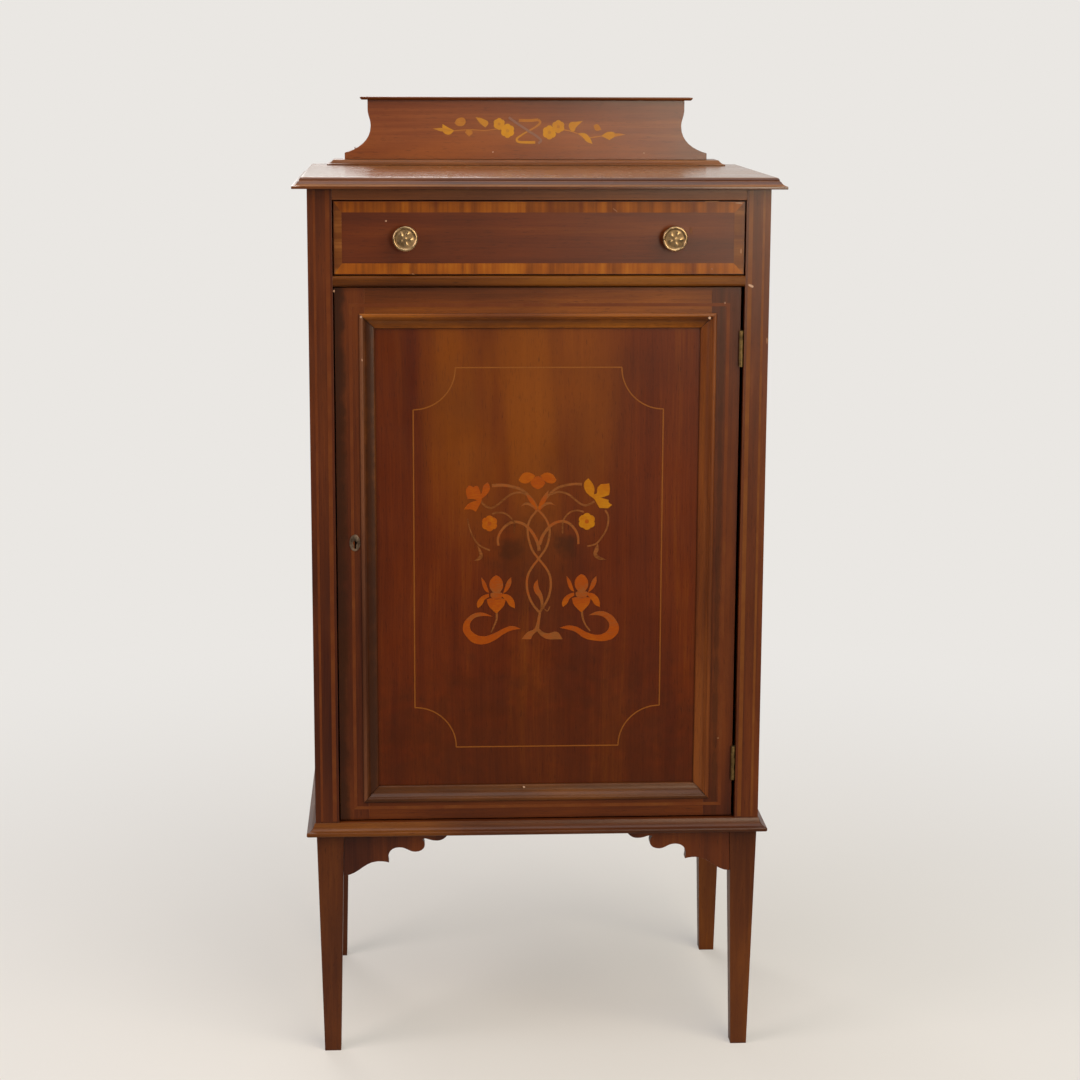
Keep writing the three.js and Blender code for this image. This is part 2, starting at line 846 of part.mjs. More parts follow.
// ---------------------------------------------------------------- door
// The door group's origin is on the hinge axis at the height of the door's lower edge.

const doorX = [-postInner + doorLockGap - hingeAxisX, postInner - doorHingeGap - hingeAxisX];
const doorFace = joineryGap + knuckleRadius;
const doorRear = doorFace + doorThickness;
const doorBottomZ = boardTopZ + doorBottomGap;
const doorHeight = doorOpeningHeight - doorBottomGap - doorTopGap;
const frameInnerX = [doorX[0] + doorStileWidth, doorX[1] - doorStileWidth];
const frameInnerZ = [doorBottomRailWidth, doorHeight - doorTopRailWidth];
const panelY = [doorFace + panelSink, doorFace + panelSink + panelThickness];
const keyholeX = doorX[0] + keyholeInset;

function panelGroove() {
  const reach = panelGrooveDepth + joineryGap;
  return block(
    [frameInnerX[0] - reach, frameInnerX[1] + reach],
    [panelY[0] - joineryGap, panelY[1] + joineryGap],
    [frameInnerZ[0] - reach, frameInnerZ[1] + reach],
  );
}

// The mortise for one rail's tenons, cut right through to both stiles.
function doorMortise([low, high], gap) {
  const z = [low + doorTenonShoulder - gap, high - doorTenonShoulder + gap];
  const reach = doorTenonLength + gap;
  return block(
    [frameInnerX[0] - reach, frameInnerX[1] + reach],
    [panelY[0] - gap, panelY[1] + gap],
    z,
  );
}

const railSpans = {
  top: [frameInnerZ[1], doorHeight],
  bottom: [0, frameInnerZ[0]],
};

function doorRail(name, span) {
  const rail = block(frameInnerX, [doorFace, doorRear], span);
  return piece(name, join(cut(rail, panelGroove()), doorTenonPair(span)), mahogany);
}

// Both tenons of a rail. They start inside the rail, clear of the panel's groove.
function doorTenonPair(span) {
  const middle = block(
    [frameInnerX[0] - doorTenonLength, frameInnerX[1] + doorTenonLength],
    panelY,
    [span[0] + doorTenonShoulder, span[1] - doorTenonShoulder],
  );
  return cut(middle, panelGroove());
}

function doorStile(span) {
  const stile = block(span, [doorFace, doorRear], [0, doorHeight]);
  const mortises = Object.values(railSpans).map((rail) => doorMortise(rail, joineryGap));
  return cut(stile, panelGroove(), ...mortises);
}

function lockStile() {
  const stile = doorStile([doorX[0], frameInnerX[0]]);
  const keyway = keyholeTool([doorFace - cutPast, doorRear]);
  return piece('door_stile_lock', cut(stile, lockHousing(joineryGap), keyway), mahogany);
}

function hingeStile() {
  return piece('door_stile_hinge', doorStile([frameInnerX[1], doorX[1]]), mahogany);
}

function doorPanel() {
  const reach = panelGrooveDepth - panelExpansionGap;
  return board(
    'door_panel',
    mahoganyPanel,
    [frameInnerX[0] - reach, frameInnerX[1] + reach],
    panelY,
    [frameInnerZ[0] - reach, frameInnerZ[1] + reach],
  );
}

// Section of the moulding round the panel, in (u, v): u runs inwards from its outer edge, v stands
// out from the frame's face. A bead, a quirk and a hollow that runs down to the sunk panel.
function doorMouldingSection() {
  const inner = mouldingWidth;
  const proud = mouldingProud;
  const bead = mouldingBeadWidth;
  const section = new THREE.Shape();
  section.moveTo(0, 0);
  section.lineTo(0, proud * 0.4);
  section.quadraticCurveTo(0, proud, bead / 2, proud);
  section.quadraticCurveTo(bead, proud, bead, proud * 0.3);
  section.lineTo(mouldingLap, proud * 0.3);
  section.bezierCurveTo(
    bead * 1.6, -0.3 * panelSink,
    bead * 2.2, -0.55 * panelSink,
    inner * 0.9, -0.6 * panelSink,
  );
  section.quadraticCurveTo(inner, -0.65 * panelSink, inner, -panelSink);
  section.lineTo(mouldingLap, -panelSink);
  section.lineTo(mouldingLap, 0);
  return section;
}

function doorMouldings() {
  const section = doorMouldingSection();
  const x = [frameInnerX[0] - mouldingLap, frameInnerX[1] + mouldingLap];
  const z = [frameInnerZ[0] - mouldingLap, frameInnerZ[1] + mouldingLap];
  const width = x[1] - x[0];
  const height = z[1] - z[0];
  const out = reversed(Y);
  const strip = (name, length, origin, inwards) => {
    const geometry = mouldingStrip(section, length, 1, 1, origin, inwards, out);
    return piece(name, geometry, mahoganyMoulding);
  };
  return [
    strip('door_moulding_bottom', width, [x[0], doorFace, z[0]], Z),
    strip('door_moulding_top', width, [x[1], doorFace, z[1]], reversed(Z)),
    strip('door_moulding_left', height, [x[0], doorFace, z[1]], X),
    strip('door_moulding_right', height, [x[1], doorFace, z[0]], reversed(X)),
  ];
}

// ---------------------------------------------------------------- lock

function keyholeTool(run) {
  const slot = block(
    [keyholeX - keyholeSlotWidth / 2, keyholeX + keyholeSlotWidth / 2],
    run,
    [lockHeight - keyholeSlotLength, lockHeight],
  );
  return join(rodAlongY(keyholeRadius, run, keyholeX, lockHeight), slot);
}

// The lock's body with the selvedge plate on the door's edge, or the recess for it.
function lockHousing(gap = 0) {
  const half = lockBodyHeight / 2 + gap;
  const plate = selvedgeHeight / 2 + gap;
  const front = doorRear - lockBodyThickness - gap;
  const body = block(
    [doorX[0], doorX[0] + lockBodyWidth + gap],
    [front, doorRear],
    [lockHeight - half, lockHeight + half],
  );
  const selvedge = block(
    [doorX[0], doorX[0] + selvedgeThickness + gap],
    [front, doorRear],
    [lockHeight - plate, lockHeight + plate],
  );
  return join(body, selvedge);
}

const boltY = doorRear - lockBodyThickness / 2;
const boltZ = lockHeight + boltRise;

function boltBlock([x0, x1], gap = 0) {
  return block(
    [x0, x1],
    [boltY - boltThickness / 2 - gap, boltY + boltThickness / 2 + gap],
    [boltZ - boltHeight / 2 - gap, boltZ + boltHeight / 2 + gap],
  );
}

function lockCase() {
  const channel = boltBlock([doorX[0] - cutPast, doorX[0] + boltLength + boltEndGap], joineryGap);
  const keyway = keyholeTool([doorFace, boltY + boltThickness / 2]);
  return piece('lock_case', cut(lockHousing(), channel, keyway), agedBrass);
}

function lockBolt() {
  const start = doorX[0] + joineryGap;
  return piece('lock_bolt', boltBlock([start, start + boltLength]), agedBrass);
}

// The hole in the left post that the bolt is thrown into.
function boltMortise() {
  const mouth = -postInner - hingeAxisX;
  const depth = boltTravel - doorLockGap + boltEndGap;
  const tool = boltBlock([mouth - depth, mouth + cutPast], 2 * joineryGap);
  return tool.translate(hingeAxisX, hingeAxisY, doorBottomZ);
}

function escutcheon() {
  const plate = new THREE.Shape();
  plate.absellipse(0, 0, escutcheonWidth / 2, escutcheonHeight / 2, 0, Math.PI * 2, false, 0);
  const run = [doorFace - escutcheonThickness, doorFace];
  const oval = alongY(new THREE.Shape(plate.getPoints(32)), run).translate(keyholeX, 0, lockHeight);
  return piece('lock_escutcheon', cut(oval, keyholeTool([run[0] - cutPast, run[1] + cutPast])), agedBrass);
}

// ---------------------------------------------------------------- hinges

// A leaf of a butt hinge about its own pin: a flat plate, and every other knuckle joined to it.
function hingeLeaf(plateX, firstKnuckle) {
  const pitch = hingeLength / knuckleCount;
  let leaf = block(plateX, [hingeLeafStart, hingeLeafEnd], [0, hingeLength]);
  for (let i = firstKnuckle; i < knuckleCount; i += 2) {
    const low = i === 0 ? 0 : i * pitch + knuckleGap / 2;
    const high = i === knuckleCount - 1 ? hingeLength : (i + 1) * pitch - knuckleGap / 2;
    const barrel = rodAlongZ(knuckleRadius, [low, high]);
    const web = block(plateX, [0, hingeLeafStart + knuckleGap], [low, high]);
    leaf = join(leaf, barrel, web);
  }
  return cut(leaf, rodAlongZ(hingePinRadius + pinGap, [-cutPast, hingeLength + cutPast]));
}

// The fixed leaf lies on the post's inner face, the other on the door's edge.
const postPlateX = [postInner - hingeAxisX - hingeLeafThickness, postInner - hingeAxisX];
const doorPlateX = [doorX[1], doorX[1] + hingeLeafThickness];

const hingePlaces = [
  ['upper', doorHeight - hingeTopInset - hingeLength],
  ['lower', hingeBottomInset],
];

function fixedHingeParts() {
  return hingePlaces.flatMap(([word, z]) => [
    piece(`hinge_${word}_post_leaf`, hingeLeaf(postPlateX, 0), agedBrass, 0, 0, z),
    piece(`hinge_${word}_pin`, rodAlongZ(hingePinRadius, [0, hingeLength]), steel, 0, 0, z),
  ]);
}

function doorHingeLeaves() {
  return hingePlaces.map(([word, z]) => (
    piece(`hinge_${word}_door_leaf`, hingeLeaf(doorPlateX, 1), agedBrass, 0, 0, z)
  ));
}

function doorGroup() {
  const group = new THREE.Group();
  group.add(lockStile(), hingeStile());
  group.add(doorRail('door_rail_top', railSpans.top), doorRail('door_rail_bottom', railSpans.bottom));
  group.add(doorPanel(), ...doorMouldings(), ...doorHingeLeaves());
  group.add(escutcheon(), lockCase(), lockBolt());
  group.position.set(hingeAxisX, hingeAxisY, doorBottomZ);
  return group;
}

function hingeGroup() {
  const group = new THREE.Group();
  group.add(...fixedHingeParts());
  group.position.set(hingeAxisX, hingeAxisY, doorBottomZ);
  return group;
}

// ---------------------------------------------------------------- the cabinet

const cabinet = new THREE.Group();
cabinet.add(caseGroup(), topGroup(), standGroup(), drawerGroup(), doorGroup(), hingeGroup());

export default cabinet;
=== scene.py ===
# Inlaid mahogany gramophone cabinet: its finishes, inlay and fittings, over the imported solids.
import json
import math
import random

import bpy
from mathutils import Matrix, Vector


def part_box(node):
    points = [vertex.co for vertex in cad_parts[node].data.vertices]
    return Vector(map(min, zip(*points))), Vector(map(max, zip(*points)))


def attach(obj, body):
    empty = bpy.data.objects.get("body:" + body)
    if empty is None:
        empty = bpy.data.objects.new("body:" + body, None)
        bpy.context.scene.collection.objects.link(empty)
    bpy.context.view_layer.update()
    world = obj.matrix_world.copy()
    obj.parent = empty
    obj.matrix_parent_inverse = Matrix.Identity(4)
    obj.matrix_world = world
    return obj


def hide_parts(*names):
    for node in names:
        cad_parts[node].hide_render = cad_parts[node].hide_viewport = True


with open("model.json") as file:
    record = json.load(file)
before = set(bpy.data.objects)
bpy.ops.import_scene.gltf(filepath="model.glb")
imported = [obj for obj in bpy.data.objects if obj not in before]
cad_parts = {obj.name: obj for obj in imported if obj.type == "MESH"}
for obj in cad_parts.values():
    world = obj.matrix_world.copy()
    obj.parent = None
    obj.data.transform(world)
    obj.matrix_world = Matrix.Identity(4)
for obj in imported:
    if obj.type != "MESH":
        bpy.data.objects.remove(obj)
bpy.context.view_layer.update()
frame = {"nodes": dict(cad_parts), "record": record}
cadObjects = frame["nodes"]
bodyOf = {node: body for body, members in frame["record"]["behaviour"]["bodies"].items() for node in members}
print("solids loaded:", len(cadObjects))

mm = 0.001


def hexColour(code):
    # a screen colour as it is written, turned to scene-linear
    parts = [int(code[i:i + 2], 16) / 255 for i in (0, 2, 4)]
    return tuple(p / 12.92 if p <= 0.04045 else ((p + 0.055) / 1.055) ** 2.4 for p in parts) + (1.0,)


def only(piece):
    if bpy.context.object and bpy.context.object.mode != "OBJECT":
        bpy.ops.object.mode_set(mode="OBJECT")
    bpy.ops.object.select_all(action="DESELECT")
    piece.select_set(True)
    bpy.context.view_layer.objects.active = piece


def editAll(piece):
    only(piece)
    bpy.ops.object.mode_set(mode="EDIT")
    bpy.ops.mesh.select_all(action="SELECT")


def settle(piece, name, body, material, replaced=()):
    # the place goes into the mesh, and the piece is handed to its body
    only(piece)
    bpy.ops.object.transform_apply()
    piece.name = name
    piece.data.name = name
    piece.data.materials.clear()
    piece.data.materials.append(material)
    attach(piece, body)
    if replaced:
        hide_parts(*replaced)
    return piece


class Tree:
    # short names for wiring up one material, or the world
    def __init__(self, owner):
        owner.use_nodes = True
        self.owner = owner
        self.nodes, self.links = owner.node_tree.nodes, owner.node_tree.links

    def fill(self, node, sockets):
        # each socket takes a value, a colour's code or another node's output
        for key, value in sockets.items():
            if isinstance(value, bpy.types.NodeSocket):
                self.links.new(value, node.inputs[key])
            else:
                node.inputs[key].default_value = hexColour(value) if isinstance(value, str) else value
        return node

    def add(self, kind, sockets=None, **settings):
        node = self.nodes.new("ShaderNode" + kind)
        for key, value in settings.items():
            setattr(node, key, value)
        return self.fill(node, sockets or {})

    def maths(self, operation, a, b, clamp=False):
        return self.add("Math", {0: a, 1: b}, operation=operation, use_clamp=clamp).outputs[0]

    def plus(self, a, b, clamp=False):
        return self.maths("ADD", a, b, clamp)

    def minus(self, a, b):
        return self.maths("SUBTRACT", a, b)

    def times(self, a, b, clamp=False):
        return self.maths("MULTIPLY", a, b, clamp)

    def apart(self, vector):
        return self.add("SeparateXYZ", {0: vector}).outputs

    def mapping(self, vector, scale=(1, 1, 1), turn=(0, 0, 0), shift=(0, 0, 0)):
        return self.add("Mapping", {0: vector, "Location": shift, "Rotation": turn, "Scale": scale}).outputs[0]

    def noise(self, vector, scale=1.0, detail=3.0, roughness=0.55, distortion=0.0, output="Fac"):
        return self.add("TexNoise", {"Vector": vector, "Scale": scale, "Detail": detail, "Roughness": roughness,
                                     "Distortion": distortion}).outputs[output]

    def ramp(self, factor, *stops):
        node = self.add("ValToRGB", {0: factor})
        elements = node.color_ramp.elements
        while len(elements) < len(stops):
            elements.new(0.5)
        for element, (position, code) in zip(elements, stops):
            element.position = position
            element.color = hexColour(code)
        return node.outputs["Color"]

    def mix(self, factor, a, b):
        return self.add("Mix", {"Factor": factor, 6: a, 7: b}, data_type="RGBA").outputs[2]

    def band(self, value, low, high):
        return self.add("MapRange", {"Value": value, "From Min": low, "From Max": high},
                        interpolation_type="SMOOTHSTEP").outputs["Result"]

    def bump(self, height, strength, distance):
        return self.add("Bump", {"Height": height, "Strength": strength, "Distance": distance}).outputs[0]

    def finish(self, sockets):
        self.fill(self.nodes["Principled BSDF"], sockets)
        return self.owner


def newTree(name):
    tree = Tree(bpy.data.materials.new(name))
    return tree, tree.add("TexCoord").outputs["Object"]


def bareEdges(tree, place, reach, amount):
    # polish rubbed off the arrises: where a rounded normal leaves the face's own
    rounded = tree.add("Bevel", {"Radius": reach}, samples=6).outputs[0]
    face = tree.add("NewGeometry").outputs["Normal"]
    turn = tree.add("VectorMath", {0: rounded, 1: face}, operation="DOT_PRODUCT").outputs["Value"]
    patchy = tree.band(tree.noise(place, 38.0, 4.0, 0.65), 0.42, 0.68)
    return tree.times(tree.band(tree.minus(1.0, turn), 0.02, 0.22), tree.times(patchy, amount), True)


def oval(tree, place, middleX, middleZ, reachX, reachZ, lean=0.0):
    # 0 in the middle of an oval on the front, 1 at its rim
    x, _, z = tree.apart(place)
    leaning = tree.plus(x, tree.times(z, lean)) if lean else x
    across = tree.maths("DIVIDE", tree.minus(leaning, middleX), reachX)
    along = tree.maths("DIVIDE", tree.minus(z, middleZ), reachZ)
    return tree.plus(tree.times(across, across), tree.times(along, along))


# the turn that lays a board's grain along an axis
alongAxis = {"Z": (0.0, 0.0, 0.0), "X": (0.0, math.radians(90), 0.0), "Y": (math.radians(90), 0.0, 0.0)}
# how many marks a metre holds, across the grain and along it
grainScale = {"wander": (5, 5, 2.2), "streak": (95, 95, 2.6), "fibre": (620, 620, 14), "pores": (2100, 2100, 85)}
# dark ovals laid into a front's colour: real stains on the door's panel, and painted shade and painted shadows on its
# frame and at the panel's foot
stainAndShade = {"colour": "3c1c06", "ragged": 1.6, "front": (-0.1455, -0.147)}


def polishedWood(name, look):
    tree, place = newTree(name)
    grain = tree.mapping(place, turn=alongAxis[look["grain"]], shift=look["shift"])
    # the boards' slow wander, so that no line of grain is dead straight
    wander = tree.noise(tree.mapping(grain, grainScale["wander"]), 1.0, 2.0, 0.5, output="Color")
    for operation, sockets in (("SUBTRACT", {1: (0.5, 0.5, 0.5)}), ("SCALE", {"Scale": look["wander"]}),
                               ("ADD", {1: grain})):
        wander = tree.add("VectorMath", {0: wander, **sockets}, operation=operation).outputs[0]
    grain = wander

    broadScale = (look["figure"], look["figure"], look["figure"] * 0.14)
    figure = tree.noise(tree.mapping(grain, broadScale), 1.0, 3.0, 0.5, 0.3)
    streak = tree.noise(tree.mapping(grain, grainScale["streak"]), 1.0, 5.0, 0.6)
    fibre = tree.noise(tree.mapping(grain, grainScale["fibre"]), 1.0, 3.0, 0.6)
    pores = tree.noise(tree.mapping(grain, grainScale["pores"]), 1.0, 1.0, 0.5)
    broad, medium, fine = look["weights"]
    blend = tree.plus(tree.times(figure, broad), tree.times(streak, medium))
    blend = tree.plus(blend, tree.times(fibre, fine))
    colour = tree.ramp(blend, *zip((0.36, 0.5, 0.66), look["tones"]))
    # upward faces painted paler than the rest: a painted sheen
    if look.get("upwardSheen"):
        up = tree.apart(tree.add("NewGeometry").outputs["Normal"])["Z"]
        colour = tree.mix(tree.band(up, 0.7, 0.98), colour, tree.mix(blend, *look["upwardSheen"]))
    if look.get("glow"):
        # a paler tongue of figure that runs up one veneer; on the left door moulding, the same band is a painted
        # highlight along its bead
        *spot, tint = look["glow"]
        far = oval(tree, place, *spot, look["lean"])
        near = tree.times(tree.minus(1.0, tree.band(far, 0.0, 1.0)), tree.band(figure, 0.3, 0.6))
        colour = tree.mix(tree.times(near, 0.55), colour, tint)
    for *spot, strength in look.get("stainsAndShade", ()):
        ragged = tree.minus(tree.noise(place, 60.0, 2.0), 0.5)
        far = tree.plus(oval(tree, place, *spot), tree.times(ragged, stainAndShade["ragged"]))
        near = tree.times(tree.minus(1.0, tree.band(far, 0.0, 1.0)), strength)
        onFront = tree.band(tree.apart(place)["Y"], *stainAndShade["front"])
        colour = tree.mix(tree.times(near, onFront), colour, stainAndShade["colour"])
    poreMark = tree.band(pores, 0.36, 0.27)
    colour = tree.mix(tree.times(poreMark, 0.55), colour, look["pore"])
    cloud = tree.band(tree.noise(place, 7.0, 3.0, 0.5), 0.42, 0.75)
    colour = tree.mix(tree.times(cloud, 0.28), colour, look["grimeAndShade"])
    # dirt and old polish settled in the corners and hollows, with painted shade there: the colour darkens where the
    # ambient occlusion finds the surface hemmed in
    corner = tree.add("AmbientOcclusion", {"Distance": look["corner"]}, samples=4).outputs["AO"]
    settledDirtAndShade = tree.times(tree.band(corner, 0.82, 0.35), look["cornerDirtAndShade"])
    colour = tree.mix(settledDirtAndShade, colour, look["grimeAndShade"])
    if look["bare"] > 0:
        edge = bareEdges(tree, place, look["edge"], look["bare"])
        colour = tree.mix(edge, colour, look["rubbed"])
    low, high = look["rough"]
    haze = tree.add("MapRange", {"Value": tree.noise(place, 23.0, 4.0, 0.6), "From Min": 0.3, "From Max": 0.7,
                                 "To Min": low, "To Max": high}).outputs[0]
    relief = tree.plus(tree.times(fibre, 0.35), tree.times(poreMark, -0.65))
    return tree.finish({"Base Color": colour, "Roughness": haze, "Coat Weight": look["polish"],
                        "Coat Roughness": look["polishHaze"], "Coat IOR": 1.5, "Specular IOR Level": 0.16,
                        "Normal": tree.bump(relief, look["relief"], 0.00025)})


# easing: the round worked along each arris, in mm, and the angle over which an edge is one
eased = {"segments": 2, "sharp": 28, "board": 0.45, "doorFrame": 0.2, "fitting": 0.15, "pin": 0.25}


def easeBoard(node, material, bevel):
    only(cadObjects[node])
    bpy.ops.object.duplicate()
    board = bpy.context.object
    for key in list(board.keys()):
        del board[key]
    board.parent = None
    board.matrix_world = Matrix.Identity(4)
    editAll(board)
    bpy.ops.mesh.remove_doubles(threshold=0.00001)
    bpy.ops.mesh.dissolve_limited(angle_limit=math.radians(0.2))
    bpy.ops.object.mode_set(mode="OBJECT")
    if board.data.has_custom_normals:
        bpy.ops.mesh.customdata_custom_splitnormals_clear()
    rounding = board.modifiers.new("arris", "BEVEL")
    rounding.width = bevel * mm
    rounding.segments = eased["segments"]
    rounding.limit_method = "ANGLE"
    rounding.angle_limit = math.radians(eased["sharp"])
    rounding.use_clamp_overlap = True
    rounding.harden_normals = False
    bpy.ops.object.modifier_apply(modifier="arris")
    bpy.ops.object.shade_smooth_by_angle(angle=0.6)
    # the broad faces stay flat in the light, and only the arrises turn it
    flatness = board.modifiers.new("flatness", "WEIGHTED_NORMAL")
    flatness.weight = 100
    flatness.keep_sharp = True
    bpy.ops.object.modifier_apply(modifier="flatness")
    return settle(board, node + "_finished", bodyOf[node], material, [node])


mahoganyLook = {
    "grain": "Z", "shift": (0.0, 0.0, 0.0), "wander": 0.012, "figure": 26,
    "tones": ("3c1608", "56260d", "743813"), "pore": "1f0c05", "grimeAndShade": "30140a",
    "rubbed": "9a5a2c", "bare": 0.55, "edge": 0.0012, "corner": 0.006, "cornerDirtAndShade": 0.6,
    "rough": (0.3, 0.42), "polish": 0.28, "polishHaze": 0.26, "relief": 0.2,
    "weights": (0.55, 0.3, 0.15), "lean": 0.0, "bevel": eased["board"],
}
doorFrame = {"polish": 0.2, "bevel": eased["doorFrame"]}
# the mouldings: more rubbed arrises, and a wider, darker band of dirt and painted shade in their hollows
worn = {"bare": 0.75, "corner": 0.014, "cornerDirtAndShade": 0.95}
wornLevel = {**worn, "grain": "X"}
mouldingTones = ("401c0a", "5f2f0f", "854a1a")
pine = {"tones": ("96633a", "b28050", "c89c6e"), "pore": "7c5330", "grimeAndShade": "8a6338", "rubbed": "c9a878",
        "figure": 22, "rough": (0.55, 0.72), "polish": 0.0, "relief": 0.45, "bare": 0.25, "weights": (0.34, 0.42, 0.24)}
# each wood, by what sets it apart, and the boards cut from it
woods = {
    "mahoganyUpright": dict(boards=["front_post_left", "leg_bracket_left"]),
    # the right post and bracket: a paler copy of the left's mahogany, painted sheen on the right side
    "mahoganyUprightRight": dict(shift=(3.1, 1.7, 0.4), tones=("471e0b", "642e0f", "844516"),
                                 boards=["front_post_right", "leg_bracket_right"]),
    "mahoganySide": dict(shift=(5.0, 2.4, 7.7), figure=14, boards=["side_panel_left", "side_panel_right"]),
    "mahoganyLevel": dict(grain="X", shift=(2.0, 0.3, 1.1), boards=["bottom_board"]),
    # the frieze rail: a paler copy, painted light in the shade under the top's overhang
    "mahoganyFrieze": dict(grain="X", shift=(2.6, 1.3, 2.1), tones=("5c3016", "794320", "9a5f30"),
                           boards=["frieze_rail"]),
    "mahoganyGallery": dict(grain="X", shift=(9.0, 3.0, 2.0), figure=13, tones=("56230e", "723512", "925020"),
                            polish=0.75, glow=(0.0, 1.022, 0.19, 0.034, "a2581c"), boards=["gallery_board"]),
    # the top: darker tones for its edges, and its upward faces painted paler, a painted sheen
    "mahoganyTop": dict(grain="X", shift=(1.1, 8.0, 0.5), figure=12, tones=("3f2010", "572c14", "7a451d"),
                        upwardSheen=("6a3d20", "b87c44"), rough=(0.18, 0.3), polish=0.58, polishHaze=0.17, bare=0.7,
                        boards=["top_board"]),
    "mouldingLevel": dict(wornLevel, shift=(4.0, 1.0, 0.9), tones=mouldingTones, boards=["gallery_cap"]),
    "mahoganyDivider": dict(grain="X", shift=(4.9, 0.3, 0.1), tones=("4a2306", "6e3b09", "8c540d"), bare=0.75,
                            polish=0.05, boards=["drawer_divider_rail"]),
    # the gallery's base moulding: a paler copy, painted light
    "mouldingGallery": dict(wornLevel, shift=(4.6, 0.9, 3.9), tones=("5e3418", "7d4a24", "9f6a38"),
                            boards=["gallery_base"]),
    "mouldingBase": dict(wornLevel, shift=(4.1, 1.9, 1.9), tones=("3e1b08", "5c2e0b", "824a12"),
                         boards=["base_moulding_front"]),
    # the top door moulding: a paler copy of the moulding's mahogany, painted light from above, with an oval of painted
    # shade on the slope under its bead
    "mouldingTop": dict(wornLevel, shift=(4.4, 1.3, 2.9), tones=("6b3610", "955314", "b87226"),
                        stainsAndShade=((0.0, 0.8493, 0.6, 0.0062, 0.4),), boards=["door_moulding_top"]),
    # the bottom door moulding: a darker copy, painted shade
    "mouldingFoot": dict(wornLevel, shift=(4.7, 1.6, 4.9), tones=("351906", "522a09", "76430f"),
                         boards=["door_moulding_bottom"]),
    # the left door moulding: a darker copy, painted shade, with more painted shade in its hollow and a painted
    # highlight along its bead
    "mouldingLeft": dict(worn, shift=(2.7, 0.6, 3.3), tones=("351707", "50260b", "6f3c13"),
                         stainsAndShade=((-0.188, 0.58, 0.0068, 1.2, 0.9),), glow=(-0.1966, 0.58, 0.003, 1.2, "86563c"),
                         boards=["door_moulding_left"]),
    # the right door moulding: a paler copy, painted light from the left
    "mouldingRight": dict(worn, shift=(2.1, 0.3, 1.7), tones=("4f250e", "723a14", "955521"),
                          boards=["door_moulding_right"]),
    "mouldingDeep": dict(worn, grain="Y", shift=(0.4, 5.5, 1.9), tones=mouldingTones,
                         boards=["base_moulding_left", "base_moulding_right"]),
    # the door's stiles: the first oval is a painted shadow cast by the left post on the lock stile, and the second a
    # painted shadow beside the right moulding's bead
    "mahoganyDoorStile": dict(doorFrame, shift=(1.3, 4.2, 2.0), tones=("3c1709", "56260e", "713713"),
                              stainsAndShade=((-0.2222, 0.58, 0.0095, 1.2, 0.9), (0.2032, 0.58, 0.0042, 1.2, 0.55)),
                              boards=["door_stile_lock", "door_stile_hinge"]),
    # the door's top rail: a paler copy of the bottom rail's mahogany, painted light from above
    "mahoganyDoorRailTop": dict(doorFrame, grain="X", shift=(0.2, 2.8, 5.6), tones=("4b220a", "68320e", "884912"),
                                boards=["door_rail_top"]),
    "mahoganyDoorRail": dict(doorFrame, grain="X", shift=(0.6, 2.2, 5.0), tones=("411a08", "5c290b", "793c10"),
                             boards=["door_rail_bottom"]),
    # the door panel: the first two ovals are dark marks under the umbrella arcs, and the third is painted shade,
    # darkening the panel towards its foot
    "mahoganyPanelVeneer": dict(shift=(0.35, 6.0, 0.2), figure=15, wander=0.02, bare=0.0, weights=(0.42, 0.3, 0.2),
                                tones=("541e06", "672907", "81400a"), glow=(0.045, 0.8, 0.16, 0.27, "935009"),
                                lean=0.1, rough=(0.3, 0.44), polish=0.1, boards=["door_panel"],
                                stainsAndShade=((-0.032, 0.594, 0.019, 0.017, 0.55), (0.031, 0.597, 0.015, 0.018, 0.7),
                                        (0.0, 0.3, 0.3, 0.21, 0.42), (0.0, 0.56, 0.07, 0.09, 0.35))),
    "mahoganyDrawerVeneer": dict(grain="X", shift=(7.1, 0.9, 3.0), bare=0.3, figure=18, polish=0.36,
                                 tones=("501f09", "652b0b", "7f3e0f"), weights=(0.42, 0.3, 0.18),
                                 boards=["drawer_front"]),
    "mahoganyLeg": dict(shift=(0.9, 0.2, 6.1), tones=("451d0b", "603011", "804616"), rough=(0.32, 0.48), polish=0.2,
                        boards=["leg_front_left", "leg_front_right", "leg_rear_left", "leg_rear_right"]),
    "mahoganyInside": dict(grain="X", shift=(6.0, 6.0, 1.0), tones=("5b321c", "734526", "8c5a34"), pore="3b1f10",
                           grimeAndShade="4a2a18", rubbed="a0764f", rough=(0.5, 0.66), polish=0.0, relief=0.4, bare=0.2,
                           boards=["shelf_lower", "shelf_upper", "door_stop_strip", "shelf_bearer_lower_left",
                                   "shelf_bearer_lower_right", "shelf_bearer_upper_left",
                                   "shelf_bearer_upper_right"]),
    "pineDeep": dict(pine, grain="Y", shift=(1.0, 2.0, 3.0),
                     boards=["drawer_runner_left", "drawer_runner_right", "drawer_kicker_left",
                             "drawer_kicker_right", "drawer_side_left", "drawer_side_right"]),
    "pineAcross": dict(pine, grain="X", shift=(3.0, 1.0, 2.0),
                       boards=["drawer_back", "drawer_bottom", "dust_board"]),
    "pineUpright": dict(pine, shift=(2.0, 3.0, 1.0), boards=["back_panel"]),
}
for name, changes in woods.items():
    look = {**mahoganyLook, **changes}
    wood = polishedWood(name, look)
    for node in look["boards"]:
        easeBoard(node, wood, look["bevel"])
print("boards eased and polished")


